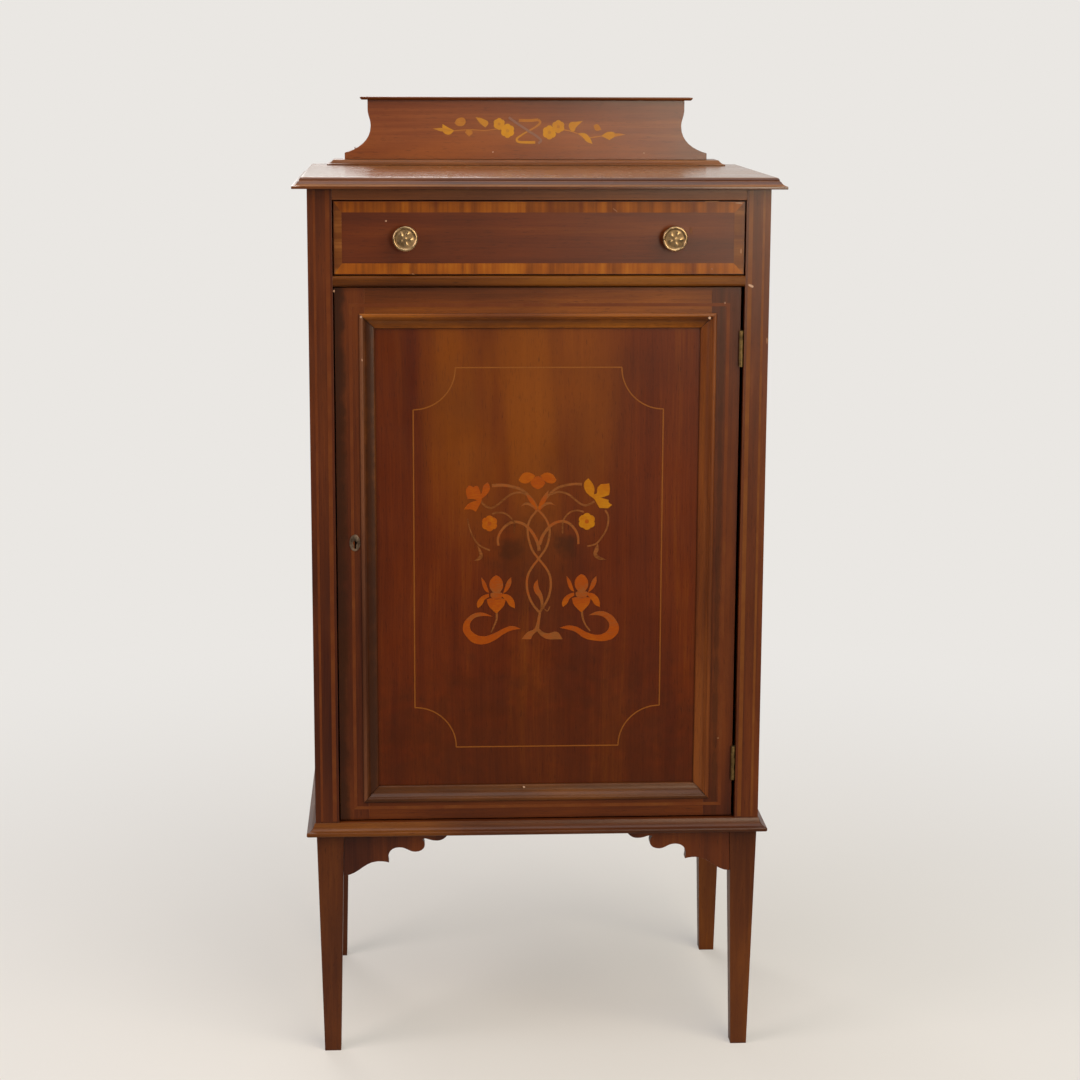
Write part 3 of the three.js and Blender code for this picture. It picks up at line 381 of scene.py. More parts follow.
# brass and steel, tarnished in patches
def oldMetal(name, **changes):
    look = {"dirt": "2c2213", "rough": 0.2, **changes}
    tree, place = newTree(name)
    patches = tree.noise(place, 130.0, 5.0, 0.62)
    specks = tree.noise(place, 900.0, 3.0, 0.6)
    colour = tree.ramp(patches, *zip((0.34, 0.62), look["tones"]))
    if look.get("deep"):
        # dull and dirty where the mesh is marked as hollow
        depth = tree.add("Attribute", attribute_name="hollow").outputs["Fac"]
        colour = tree.mix(tree.times(depth, 0.6), colour, look["dirt"])
        rough = tree.plus(tree.times(depth, 0.3), tree.times(patches, 0.5))
    else:
        rough = tree.plus(tree.times(patches, 0.4), look["rough"])
    colour = tree.mix(tree.band(specks, 0.68, 0.78), colour, look["dirt"])
    return tree.finish({"Base Color": colour, "Roughness": rough, "Metallic": 0.9,
                        "Normal": tree.bump(specks, 0.25, 0.0001)})


knobBrass = oldMetal("agedBrassKnob", tones=("8e7350", "cfae82"), dirt="47341f", deep=True)
fittingBrass = oldMetal("agedBrassFitting", tones=("4e3d24", "8b7145"), rough=0.3)
escutcheonBrass = oldMetal("agedBrassEscutcheon", tones=("4a3a2e", "95806c"), dirt="241810")
dullSteel = oldMetal("dullSteel", tones=("55514b", "8b857b"), dirt="3a2416", rough=0.25)

for node in ["hinge_upper_post_leaf", "hinge_upper_door_leaf", "hinge_lower_post_leaf", "hinge_lower_door_leaf",
             "lock_case", "lock_bolt"]:
    easeBoard(node, fittingBrass, eased["fitting"])
easeBoard("lock_escutcheon", escutcheonBrass, eased["board"])
for node in ["hinge_upper_pin", "hinge_lower_pin", "drawer_knob_nut_left", "drawer_knob_nut_right"]:
    easeBoard(node, dullSteel, eased["pin"])

# Knobs: a turned cup with a rolled rim, and a pressed rosette in its dish.
knob = {
    "sides": 96, "face": -159.0,
    # radius and height from the drawer's face, from the buried end of the spindle to the middle
    "profile": [(2.5, -24.0), (2.5, 0.0), (8.9, 0.0), (9.1, 0.5), (8.7, 1.2), (6.6, 2.1), (5.0, 3.6), (4.5, 5.4),
                (5.0, 7.4), (7.0, 9.2), (10.4, 10.6), (12.8, 11.6), (13.7, 12.5), (14.0, 13.4), (13.8, 14.6),
                (13.2, 15.5), (12.4, 16.0), (11.6, 15.8), (11.0, 15.0), (10.5, 14.4), (9.9, 14.2), (9.2, 14.2),
                (8.4, 14.3), (7.5, 14.4), (6.6, 14.5), (5.6, 14.6), (4.6, 14.7), (3.7, 14.8), (2.8, 14.9),
                (1.9, 15.0), (1.0, 15.1)],
    "dish": {"front": 13.9, "radius": 10.8}, "neck": {"front": 9, "hollow": 0.55},
    "petals": {"count": 5, "turn": 0.35, "middle": 6.2, "reach": 3.4, "rise": 0.7},
    "boss": {"radius": 2.6, "rise": 0.4}, "mostRise": 1.15,
}


def rosetteRise(out, angle):
    petals, boss = knob["petals"], knob["boss"]
    petal = max(0.0, math.cos(petals["count"] * angle / 2 + petals["turn"]) ** 2 - 0.25) / 0.75
    reach = max(0.0, 1 - ((out - petals["middle"]) / petals["reach"]) ** 2)
    return petals["rise"] * petal * reach + boss["rise"] * max(0.0, 1 - (out / boss["radius"]) ** 2)


def turnKnob(x, z):
    radius, height = knob["profile"][0]
    bpy.ops.object.select_all(action="DESELECT")
    bpy.ops.mesh.primitive_circle_add(vertices=knob["sides"], radius=radius * mm, fill_type="NGON",
                                      location=(x, (knob["face"] - height) * mm, z),
                                      rotation=(math.radians(90), 0, 0))
    piece = bpy.context.object
    bpy.ops.object.transform_apply()
    editAll(piece)
    last = (radius, height)
    for radius, height in knob["profile"][1:]:
        bpy.ops.mesh.extrude_region_move(TRANSFORM_OT_translate={"value": (0, (last[1] - height) * mm, 0)})
        share = radius / last[0]
        bpy.ops.transform.resize(value=(share, 1, share), center_override=(x, (knob["face"] - height) * mm, z))
        last = (radius, height)
    bpy.ops.object.mode_set(mode="OBJECT")
    hollow = piece.data.attributes.new("hollow", "FLOAT", "POINT")
    for i, vertex in enumerate(piece.data.vertices):
        out = math.hypot(vertex.co.x - x, vertex.co.z - z) / mm
        front = knob["face"] - vertex.co.y / mm
        if front > knob["dish"]["front"] and out < knob["dish"]["radius"]:
            rise = rosetteRise(out, math.atan2(vertex.co.z - z, vertex.co.x - x))
            vertex.co.y -= min(rise, knob["mostRise"]) * mm
            hollow.data[i].value = max(0.0, 1 - 1.8 * rise)
        elif front < knob["neck"]["front"]:
            hollow.data[i].value = knob["neck"]["hollow"]
    editAll(piece)
    bpy.ops.mesh.normals_make_consistent(inside=False)
    bpy.ops.object.mode_set(mode="OBJECT")
    bpy.ops.object.shade_smooth_by_angle(angle=0.9)
    return piece


for node in ("drawer_knob_left", "drawer_knob_right"):
    low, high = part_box(node)
    middle = (low + high) / 2
    settle(turnKnob(middle.x, middle.z), node + "_turned", "drawer", knobBrass, [node])
print("fittings made")

# Each piece of veneer is a thin slice set into the surface. It stands a hair proud, and each slice a
# little more than the last, so that no two lie in one plane. In mm:
veneer = {"sunk": 0.1, "proud": 0.1, "step": 0.004}


def cutSlice(outline, surface, proud, tone):
    # outline: (x, z) in mm, with a third number where the veneer comes to a point
    bpy.ops.object.select_all(action="DESELECT")
    bpy.ops.curve.primitive_bezier_circle_add(location=(0, 0, 0))
    piece = bpy.context.object
    piece.data.dimensions = "2D"
    piece.data.fill_mode = "BOTH"
    piece.data.resolution_u = 5
    spline = piece.data.splines[0]
    spline.bezier_points.add(len(outline) - len(spline.bezier_points))
    for point, (x, z, *pointed) in zip(spline.bezier_points, outline):
        point.co = (x * mm, z * mm, 0)
        kind = "VECTOR" if pointed else "AUTO"
        point.handle_left_type = kind
        point.handle_right_type = kind
    piece.data.extrude = (proud + veneer["sunk"]) / 2 * mm
    piece.location = (0, (surface - (proud - veneer["sunk"]) / 2) * mm, 0)
    piece.rotation_euler = (math.radians(90), 0, 0)
    bpy.ops.object.convert(target="MESH")
    bpy.ops.object.transform_apply()
    bpy.ops.object.shade_flat()
    piece = bpy.context.object
    # one tone, or a pair: the tone at its foot and the tone at its top
    foot, top = tone if isinstance(tone, tuple) else (tone, tone)
    low, high = min(p[1] for p in outline) * mm, max(p[1] for p in outline) * mm
    marks = piece.data.attributes.new("tone", "FLOAT", "POINT")
    marks.data.foreach_set("value", [foot + (top - foot) * (vertex.co.z - low) / (high - low)
                                     for vertex in piece.data.vertices])
    return piece


def joined(pieces, name, body, material):
    bpy.ops.object.select_all(action="DESELECT")
    for piece in pieces:
        piece.select_set(True)
    bpy.context.view_layer.objects.active = pieces[0]
    if len(pieces) > 1:
        bpy.ops.object.join()
    return settle(bpy.context.object, name, body, material)


def laySlices(rows, surface, name, body, material, proud=veneer["proud"]):
    # rows of (outline, tone) become one piece
    slices = [cutSlice(outline, surface, proud + veneer["step"] * i, tone) for i, (outline, tone) in enumerate(rows)]
    return joined(slices, name, body, material)


def alongCurve(t, p, q, r, s):
    # a place between q and r, on the smooth curve that also looks at p and s
    return 0.5 * (2 * q + (r - p) * t + (2 * p - 5 * q + 4 * r - s) * t * t + (3 * q - p - 3 * r + s) * t ** 3)


def smoothLine(points, steps):
    ends = [points[0]] + list(points) + [points[-1]]
    line = []
    for around in zip(ends, ends[1:], ends[2:], ends[3:]):
        for i in range(steps):
            line.append(tuple(alongCurve(i / steps, *values) for values in zip(*around)))
    return line + [tuple(points[-1])]


def ribbonOutline(points, startWidth, endWidth, steps=5):
    line = smoothLine(points, steps)
    left, right = [], []
    for i, (x, z) in enumerate(line):
        (x0, z0), (x1, z1) = line[max(0, i - 1)], line[min(len(line) - 1, i + 1)]
        length = math.hypot(x1 - x0, z1 - z0) or 1.0
        nx, nz = -(z1 - z0) / length, (x1 - x0) / length
        half = (startWidth + (endWidth - startWidth) * i / (len(line) - 1)) / 2
        left.append((x + nx * half, z + nz * half, 1))
        right.append((x - nx * half, z - nz * half, 1))
    return left + right[::-1]


marquetryLook = {"fibre": (180, 180, 900), "contrast": 0.34, "cloud": 0.3, "rough": 0.26, "polish": 0.16,
                 "stops": [(0.0, "451e08"), (0.2, "613008"), (0.36, "8f5426"), (0.5, "a04604"), (0.65, "ab5705"),
                           (0.8, "b46b07"), (1.0, "c2830c")]}


def inlayWood(name, **changes):
    look = {**marquetryLook, **changes}
    tree, place = newTree(name)
    shade = tree.add("Attribute", attribute_name="tone").outputs["Fac"]
    fibre = tree.noise(tree.mapping(place, look["fibre"]), 1.0, 4.0, 0.6)
    cloud = tree.noise(place, 60.0, 3.0, 0.5)
    for layer, amount in ((fibre, look["contrast"]), (cloud, look["cloud"])):
        shade = tree.plus(shade, tree.times(tree.minus(layer, 0.5), amount))
    return tree.finish({"Base Color": tree.ramp(shade, *look["stops"]),
                        "Roughness": tree.plus(tree.times(cloud, 0.2), look["rough"]), "Coat Weight": look["polish"],
                        "Coat Roughness": 0.14, "Specular IOR Level": 0.16, "Normal": tree.bump(fibre, 0.18, 0.0002)})


marquetryWood = inlayWood("marquetryWood")
galleryVeneer = inlayWood("galleryMarquetryWood",
                          stops=[(0.3, "86522a"), (0.55, "a5682c"), (0.75, "b57c2c"), (0.95, "c48a22")])
greyedWood = inlayWood("greyedInlay", stops=[(0.0, "6b4636"), (1.0, "9a7666")])
lineWood = inlayWood("stringingWood", fibre=(500, 500, 500), contrast=0.3,
                     stops=[(0.0, "603012"), (0.5, "8c501a"), (1.0, "a46a28")])
frameLineWood = inlayWood("frameLineWood", fibre=(40, 40, 40), contrast=0.5,
                          stops=[(0.0, "4a2010"), (0.5, "6b3415"), (1.0, "85501f")])
bandLook = {"contrast": 1.8, "cloud": 0.5}
bandingLevel = inlayWood("crossbandingLevel", fibre=(115, 20, 1.5), **bandLook,
                         stops=[(0.1, "6a3010"), (0.4, "7f4210"), (0.65, "97500f"), (0.95, "a96214")])
bandingUpright = inlayWood("crossbandingUpright", fibre=(1.5, 20, 90), **bandLook,
                           stops=[(0.1, "552610"), (0.5, "744018"), (0.95, "9c6230")])

panelMarquetry = {
    "surface": -148.0, "veneer": marquetryWood,
    "stems": [  # tone, width at each end, places
        (0.35, 3.6, 2.6, [(-52.1, 666.6), (-39.3, 667.1), (-28.4, 665.1), (-17.5, 660.9), (-6.6, 650.1),
            (-0.7, 640.3)]),
        (0.32, 2.4, 2.1, [(-65.1, 650.1), (-60.4, 644.2), (-53.5, 641.2), (-46.1, 644.5), (-37.9, 651.6),
            (-29.7, 657.1), (-20.2, 658.7), (-12.0, 655.4)]),
        (0.35, 2.9, 2.4, [(49.0, 667.7), (39.7, 668.0), (28.8, 666.2), (19.3, 662.4), (10.5, 654.1), (0.3, 640.3)]),
        (0.3, 2.4, 2.1, [(63.3, 648.0), (54.2, 643.6), (46.7, 645.9), (39.1, 652.3), (31.6, 657.3), (22.0, 659.0),
            (13.9, 656.3)]),
        (0.38, 2.4, 2.6, [(-0.7, 639.2), (-8.9, 628.5), (-11.9, 618.2), (-11.1, 607.1), (-6.9, 593.1), (0.5, 582.6),
            (8.8, 572.1), (13.5, 562.3), (14.4, 551.0), (12.4, 539.8), (7.9, 530.0), (3.0, 522.3)]),
        (0.38, 2.4, 2.6, [(-0.7, 639.2), (7.4, 630.0), (12.1, 619.5), (12.7, 609.7), (9.2, 595.8), (0.5, 582.6),
            (-6.3, 573.6), (-11.5, 563.8), (-12.8, 552.6), (-10.9, 541.4), (-5.9, 530.1), (1.3, 520.9)]),
        (0.38, 3.6, 2.4, [(1.2, 592.0), (-0.9, 601.5), (-6.4, 612.4), (-13.3, 620.2), (-20.1, 624.1), (-28.3, 625.0),
            (-36.5, 620.9), (-43.0, 612.9), (-45.5, 605.2), (-44.8, 598.1)]),
        (0.38, 3.6, 2.4, [(1.5, 598.7), (4.8, 608.4), (11.3, 617.8), (18.1, 623.3), (26.3, 625.5), (34.5, 623.2),
            (41.4, 616.2), (44.8, 608.1), (45.4, 599.2)]),
        (0.3, 1.7, 1.9, [(-26.7, 623.6), (-32.4, 631.4), (-39.2, 635.3), (-46.6, 635.9), (-52.0, 634.3)]),
        (0.32, 1.7, 1.9, [(27.7, 623.5), (29.6, 629.3), (35.8, 635.7), (44.0, 637.9), (51.1, 636.1)]),
        (0.17, 1.9, 1.4, [(-26.9, 622.8), (-26.9, 618.3), (-27.1, 611.9)]),
        (0.25, 1.7, 1.7, [(27.4, 624.6), (27.4, 618.0), (27.5, 611.6)]),
        (0.38, 2.4, 3.8, [(2.9, 523.0), (1.1, 513.2), (-0.8, 499.9)]),
        (0.3, 1.4, 1.9, [(-79.6, 628.9), (-77.4, 618.7), (-73.0, 607.5), (-66.0, 598.3), (-54.2, 592.6)]),
        (0.32, 2.1, 1.7, [(75.5, 637.9), (79.1, 630.1), (77.6, 617.6), (71.6, 606.5), (65.1, 599.3), (55.5, 596.6)]),
        (0.32, 2.6, 1.4, [(-47.1, 523.4), (-46.8, 513.6), (-49.8, 505.2), (-53.1, 497.6)]),
        (0.32, 2.6, 1.4, [(49.8, 524.0), (50.9, 514.1), (54.3, 505.4), (59.6, 498.5)]),
        (0.3, 1.0, 1.4, [(6.0, 525.5), (10.9, 522.1), (13.4, 527.4)]),
    ],
    "leaves": [  # tone, or the tones at foot and top, and the outline
        (0.62, [(-22.3, 672.9, 1), (-17.5, 680.2), (-10.5, 681.4), (-3.7, 677.9, 1), (-6.6, 673.5), (-12.3, 669.4),
            (-18.9, 669.7)]),
        (0.62, [(20.3, 672.7, 1), (15.1, 679.6), (7.6, 681.0), (2.3, 677.9, 1), (5.2, 673.5), (10.4, 669.6),
            (17.2, 669.3)]),
        (0.55, [(-9.1, 669.4, 1), (-6.4, 673.8), (-0.8, 677.1), (5.2, 673.8), (7.7, 669.3, 1), (4.6, 664.9),
            (-0.7, 662.1, 1), (-5.9, 665.0)]),
        ((0.62, 0.36), [(-0.7, 639.8, 1), (-4.5, 648.0), (-9.3, 654.2), (-15.5, 659.8, 1), (-12.3, 652.6),
            (-8.6, 646.2), (-3.5, 640.4, 1)]),
        ((0.62, 0.36), [(-0.7, 639.8, 1), (1.9, 647.9), (6.4, 655.5), (11.8, 661.3, 1), (10.1, 654.1), (7.8, 647.9),
            (3.3, 640.9, 1)]),
        ((0.5, 0.3), [(-0.7, 638.7, 1), (-6.5, 644.3), (-13.4, 647.6), (-20.0, 642.7, 1), (-13.4, 644.6),
            (-7.2, 641.8), (-2.7, 638.4, 1)]),
        ((0.5, 0.3), [(0.3, 638.7, 1), (4.6, 644.2), (11.9, 647.9), (19.1, 643.8, 1), (12.5, 645.0), (6.4, 642.5),
            (2.2, 638.4, 1)]),
        ((0.55, 0.48), [(-81.4, 662.7, 1), (-77.3, 666.8), (-73.2, 665.1, 1), (-69.2, 666.4), (-66.1, 662.3),
            (-64.7, 656.2, 1), (-63.2, 660.3), (-61.8, 666.4), (-56.7, 670.6, 1), (-54.4, 664.4), (-55.9, 659.5),
            (-60.2, 654.5), (-63.5, 652.1, 1), (-64.6, 647.7), (-66.5, 643.8), (-70.3, 637.0, 1), (-74.6, 639.4),
            (-83.6, 639.6, 1), (-80.3, 644.7), (-74.6, 648.3), (-68.4, 649.9, 1), (-73.3, 651.6), (-79.5, 651.6, 1),
            (-80.9, 656.7)]),
        ((0.86, 0.78), [(56.0, 674.6, 1), (61.0, 668.3), (63.1, 662.1), (62.5, 656.3, 1), (65.2, 656.8),
            (66.5, 663.5), (70.0, 667.6, 1), (79.7, 668.4, 1), (80.4, 661.3), (79.7, 655.5, 1), (74.0, 653.3),
            (69.9, 652.2, 1), (73.7, 651.3), (79.2, 649.6, 1), (79.2, 647.1), (83.2, 644.0, 1), (78.5, 640.1, 1),
            (68.9, 640.5, 1), (65.3, 646.9), (62.8, 651.0), (57.5, 654.9), (52.6, 660.8), (51.6, 669.4)]),
        ((0.56, 0.43), [(-19.6, 501.6, 1), (-29.5, 505.1), (-39.1, 502.1), (-50.4, 496.4), (-62.5, 493.3),
            (-72.1, 496.6), (-77.3, 504.0), (-73.4, 513.5), (-63.8, 516.8), (-51.2, 516.2, 1), (-65.9, 521.1),
            (-79.2, 515.3), (-85.3, 502.7), (-80.6, 492.5), (-72.1, 485.3), (-61.1, 484.2), (-49.8, 488.2),
            (-38.8, 495.7), (-29.5, 500.0)]),
        ((0.56, 0.43), [(24.5, 502.4, 1), (33.9, 505.0), (43.6, 503.6), (54.7, 497.4), (65.7, 494.1), (75.4, 495.8),
            (81.1, 502.6), (78.6, 511.1), (71.1, 516.1), (57.7, 516.9, 1), (68.3, 521.3), (79.6, 519.3),
            (89.6, 509.6), (92.2, 499.6), (86.8, 490.9), (78.2, 487.0), (65.8, 487.0), (53.3, 490.1), (41.5, 498.1),
            (33.2, 500.6)]),
        (0.36, [(-1.4, 509.0, 1), (-4.4, 501.2), (-11.6, 497.8), (-18.4, 489.5, 1), (-7.9, 489.4, 1), (-4.7, 495.4),
            (1.4, 499.9, 1)]),
        (0.36, [(-1.1, 508.2, 1), (2.5, 500.5), (10.5, 496.1), (21.8, 497.7), (28.2, 489.0, 1), (18.8, 489.0, 1),
            (11.4, 489.3), (3.9, 493.1), (-1.1, 499.1, 1)]),
        ((0.34, 0.46), [(3.0, 522.3, 1), (2.1, 535.7), (-4.0, 545.0), (-4.9, 552.6), (-0.5, 558.9, 1), (0.9, 549.7),
            (4.7, 541.3), (6.2, 532.8), (5.2, 523.3, 1)]),
        (0.3, [(-72.0, 580.8, 1), (-66.5, 586.6), (-67.1, 591.9), (-68.7, 598.6, 1), (-64.9, 593.3), (-62.6, 585.9),
            (-65.4, 582.1)]),
        (0.3, [(67.6, 599.6, 1), (63.5, 592.6), (63.0, 585.9), (69.1, 581.1), (77.1, 581.1, 1), (71.3, 583.9),
            (66.6, 587.6), (68.2, 592.1)]),
    ],
    "iris": [
        ((0.42, 0.5), [(-54.9, 555.5), (-51.2, 561.6), (-47.2, 564.1, 1), (-43.0, 561.3), (-39.7, 554.3),
            (-41.1, 547.0), (-46.7, 542.5), (-52.9, 546.5)]),
        ((0.52, 0.45), [(-64.4, 562.0, 1), (-59.7, 556.1), (-57.5, 550.2), (-55.3, 543.7, 1), (-59.2, 545.5),
            (-63.0, 552.8)]),
        ((0.52, 0.45), [(-30.4, 561.8, 1), (-30.4, 554.2), (-34.5, 546.7), (-39.7, 542.5, 1), (-37.5, 549.8),
            (-34.8, 557.0)]),
        ((0.66, 0.5), [(-55.6, 542.9, 1), (-64.1, 539.3), (-69.3, 530.9), (-68.2, 525.9, 1), (-63.3, 530.3),
            (-60.3, 535.9), (-55.3, 539.0, 1)]),
        ((0.66, 0.5), [(-40.0, 542.8, 1), (-32.3, 540.5), (-26.8, 533.1), (-26.2, 525.5, 1), (-32.3, 528.9),
            (-35.8, 534.3), (-40.0, 538.8, 1)]),
        (0.46, [(-52.9, 543.4), (-46.7, 542.5), (-41.1, 543.6), (-40.2, 539.4), (-46.7, 536.6), (-53.4, 539.2)]),
        ((0.62, 0.5), [(-58.1, 536.2, 1), (-52.8, 537.3), (-46.7, 536.1), (-41.1, 537.2), (-36.5, 536.0, 1),
            (-38.6, 529.0), (-43.0, 523.7), (-47.1, 519.5, 1), (-51.7, 523.8), (-56.1, 529.1)]),
    ],
    "irisPlaces": [(0.0, 0.0), (96.5, 0.65)],
    "roundFlowers": [(0.62, 0.48, 8.6, (-54.9, 623.6)),
                     (0.86, 0.62, 9.1, (54.8, 625.2))],  # tone, heart's tone, radius, middle
}
galleryMarquetry = {
    "surface": 144.0, "veneer": galleryVeneer,
    "stems": [
        (0.62, 3.4, 3.4, [(-9.3, 1063.4), (3.3, 1063.1), (14.2, 1064.1)]),
        (0.6, 3.0, 1.8, [(14.2, 1064.1), (16.6, 1060.5), (10.0, 1054.9), (0.3, 1049.7)]),
        (0.8, 1.8, 3.4, [(0.3, 1049.7), (-6.6, 1045.4), (-11.6, 1041.5), (-9.9, 1037.9), (0.0, 1037.2),
            (10.7, 1037.3)]),
        (0.56, 1.1, 1.0, [(-87.5, 1050.8), (-68.0, 1052.1), (-49.7, 1051.2), (-29.9, 1054.2)]),
        (0.62, 1.5, 1.2, [(43.2, 1052.7), (53.2, 1050.8), (61.8, 1047.9)]),
        (0.62, 1.2, 1.0, [(76.5, 1042.7), (91.5, 1045.0)]),
    ],
    "leaves": [
        (0.76, [(-61.7, 1067.2, 1), (-51.4, 1064.6), (-46.1, 1060.3), (-49.7, 1054.8, 1), (-56.0, 1059.7)]),
        (0.6, [(-87.1, 1060.2, 1), (-82.8, 1065.5), (-74.9, 1065.2), (-74.6, 1058.6), (-82.8, 1056.7)]),
        (0.84, [(-101.4, 1058.9, 1), (-96.1, 1055.6), (-87.2, 1051.1, 1), (-92.5, 1046.5), (-97.8, 1046.8),
            (-101.1, 1050.4)]),
        (0.7, [(-113.3, 1053.3, 1), (-101.0, 1054.0), (-87.5, 1050.8, 1), (-101.1, 1049.8)]),
        (0.52, [(-74.6, 1048.8, 1), (-70.3, 1052.4), (-65.0, 1048.9), (-69.3, 1044.0, 1)]),
        (0.78, [(68.4, 1062.9, 1), (61.1, 1061.9), (52.1, 1060.0), (53.2, 1052.1), (57.5, 1050.5), (60.1, 1055.1)]),
        (0.85, [(61.8, 1047.9, 1), (70.5, 1048.2), (76.5, 1043.3), (80.3, 1035.4, 1), (73.2, 1038.1),
            (68.2, 1043.3)]),
        (0.62, [(81.1, 1057.4, 1), (85.4, 1059.1), (91.1, 1052.5, 1), (84.1, 1051.5)]),
        (0.8, [(90.8, 1045.0, 1), (99.1, 1049.9), (107.8, 1047.0), (100.9, 1040.1, 1)]),
        (0.66, [(106.5, 1048.0, 1), (113.8, 1048.0), (120.2, 1046.7, 1), (107.2, 1044.0, 1)]),
    ],
    "roundFlowers": [(0.82, 0.62, 6.7, (-33.0, 1059.1)), (0.88, 0.68, 8.0, (-22.9, 1050.9)),
                     (0.86, 0.66, 8.0, (27.8, 1049.1)), (0.76, 0.56, 7.4, (38.5, 1056.0))],
    "ribbon": (0.5, 2.8, 2.8, [(-21.3, 1066.9), (-13.3, 1061.1), (-3.3, 1054.6), (4.0, 1049.7), (12.0, 1044.8),
               (17.7, 1039.6), (14.3, 1036.0)]),
}


def ring(x, z, radius, sides=8):
    turns = [2 * math.pi * k / sides for k in range(sides)]
    return [(x + radius * math.cos(a), z + radius * math.sin(a)) for a in turns]


def layMarquetry(pattern, name, body, scallops=6):
    rows = [(ribbonOutline(points, startWidth, endWidth), tone)
            for tone, startWidth, endWidth, points in pattern["stems"]]
    rows += [(outline, tone) for tone, outline in pattern["leaves"]]
    for shiftX, shiftZ in pattern.get("irisPlaces", ()):
        rows += [([(x + shiftX, z + shiftZ, *pointed) for x, z, *pointed in outline], tone)
                 for tone, outline in pattern["iris"]]
    for tone, heartTone, radius, (x, z) in pattern["roundFlowers"]:
        for i in range(scallops):
            angle, out = 2 * math.pi * (i + 0.5) / scallops, 0.56 * radius
            scallop = ring(x + out * math.cos(angle), z + out * math.sin(angle), 0.5 * radius)
            rows.append((scallop, tone + 0.05 * (i % 2)))
        rows.append((ring(x, z, 0.26 * radius), heartTone))
    laySlices(rows, pattern["surface"], name, body, pattern["veneer"])


layMarquetry(panelMarquetry, "panelMarquetry", "door")
layMarquetry(galleryMarquetry, "galleryMarquetry", "case")
tone, startWidth, endWidth, points = galleryMarquetry["ribbon"]
laySlices([(ribbonOutline(points, startWidth, endWidth), tone)], galleryMarquetry["surface"], "galleryRibbon",
          "case", greyedWood, proud=0.3)
print("marquetry laid")

# the line round the panel, with corners scooped out
panelLine = {"outer": (-139.9, 139.6, 363.5, 799.7), "scoop": 47.0, "width": 1.4, "surface": -148.0, "tone": 0.5}


def layPanelLine(look):
    left, right, low, high = look["outer"]
    scoop, width = look["scoop"], look["width"]
    runs = []
    corners = ((left, high, 1, -1), (right, high, -1, -1), (right, low, -1, 1), (left, low, 1, 1))
    for x, z, towardsX, towardsZ in corners:
        arc = [(x + towardsX * scoop * math.cos(a), z + towardsZ * scoop * math.sin(a))
               for a in (k * math.pi / 20 for k in range(11))]
        runs.append(ribbonOutline(arc, width, width, 2))
    for straight in ([(left + scoop, high), (right - scoop, high)], [(left + scoop, low), (right - scoop, low)],
                     [(left, low + scoop), (left, high - scoop)], [(right, low + scoop), (right, high - scoop)]):
        runs.append(ribbonOutline(straight, width, width, 1))
    laySlices([(run, look["tone"]) for run in runs], look["surface"], "panelStringing", "door",
              lineWood)


layPanelLine(panelLine)


def mitredBorder(look):
    # the level strips and the upright strips round a front, mitred where they meet
    left, right, low, high = look["outer"]
    widthLeft, widthRight, widthLevel = look["widths"]
    inLeft, inRight, inLow, inHigh = left + widthLeft, right - widthRight, low + widthLevel, high - widthLevel
    toneLow, toneHigh, toneUpright = look["tones"]

    def strip(corners, proud, tone):
        return cutSlice([(x, z, 1) for x, z in corners], look["surface"], proud, tone)

    proud = veneer["proud"]
    levels = [strip([(left, z), (right, z), (inRight, inZ), (inLeft, inZ)], proud, tone)
              for z, inZ, tone in ((high, inHigh, toneHigh), (low, inLow, toneLow))]
    uprights = [strip([(x, low), (x, high), (inX, inHigh), (inX, inLow)], proud + veneer["step"], toneUpright)
                for x, inX in ((left, inLeft), (right, inRight))]
    return levels, uprights


# crossbanding round the drawer, held back from the eased arris
drawerBanding = {"outer": (-225.0, 225.0, 904.5, 983.0), "widths": (8.4, 11.0, 11.6), "surface": -159.0,
                 "tones": (0.62, 0.5, 0.45)}
levels, uprights = mitredBorder(drawerBanding)
joined(levels, "drawerBandingLevel", "drawer", bandingLevel)
joined(uprights, "drawerBandingUpright", "drawer", bandingUpright)

# the line inlaid in the door's frame
frameLine = {"outer": (-210.0, 211.5, 293.1, 871.9), "widths": (3.6, 3.6, 3.6), "surface": -156.0,
             "tones": (0.62, 0.5, 0.5)}
levels, uprights = mitredBorder(frameLine)
joined(levels + uprights, "doorFrameLine", "door", frameLineWood)

# two lines down each front post; the right post's lines take a paler tone than the left's, painted light on the lit
# side
postLines = {"rows": [(232.0, 4.6), (246.5, 2.6)], "low": 281.0, "high": 996.0, "surface": -162.0,
             "sides": [("Left", -1, 0.5), ("Right", 1, 0.72)]}
for word, side, tone in postLines["sides"]:
    low, high, strips = postLines["low"], postLines["high"], []
    for centre, width in postLines["rows"]:
        x0, x1 = side * centre - width / 2, side * centre + width / 2
        strips.append(cutSlice([(x0, low, 1), (x1, low, 1), (x1, high, 1), (x0, high, 1)], postLines["surface"],
                               veneer["proud"], tone))
    joined(strips, "postLines" + word, "case", frameLineWood)
print("lines and banding laid")

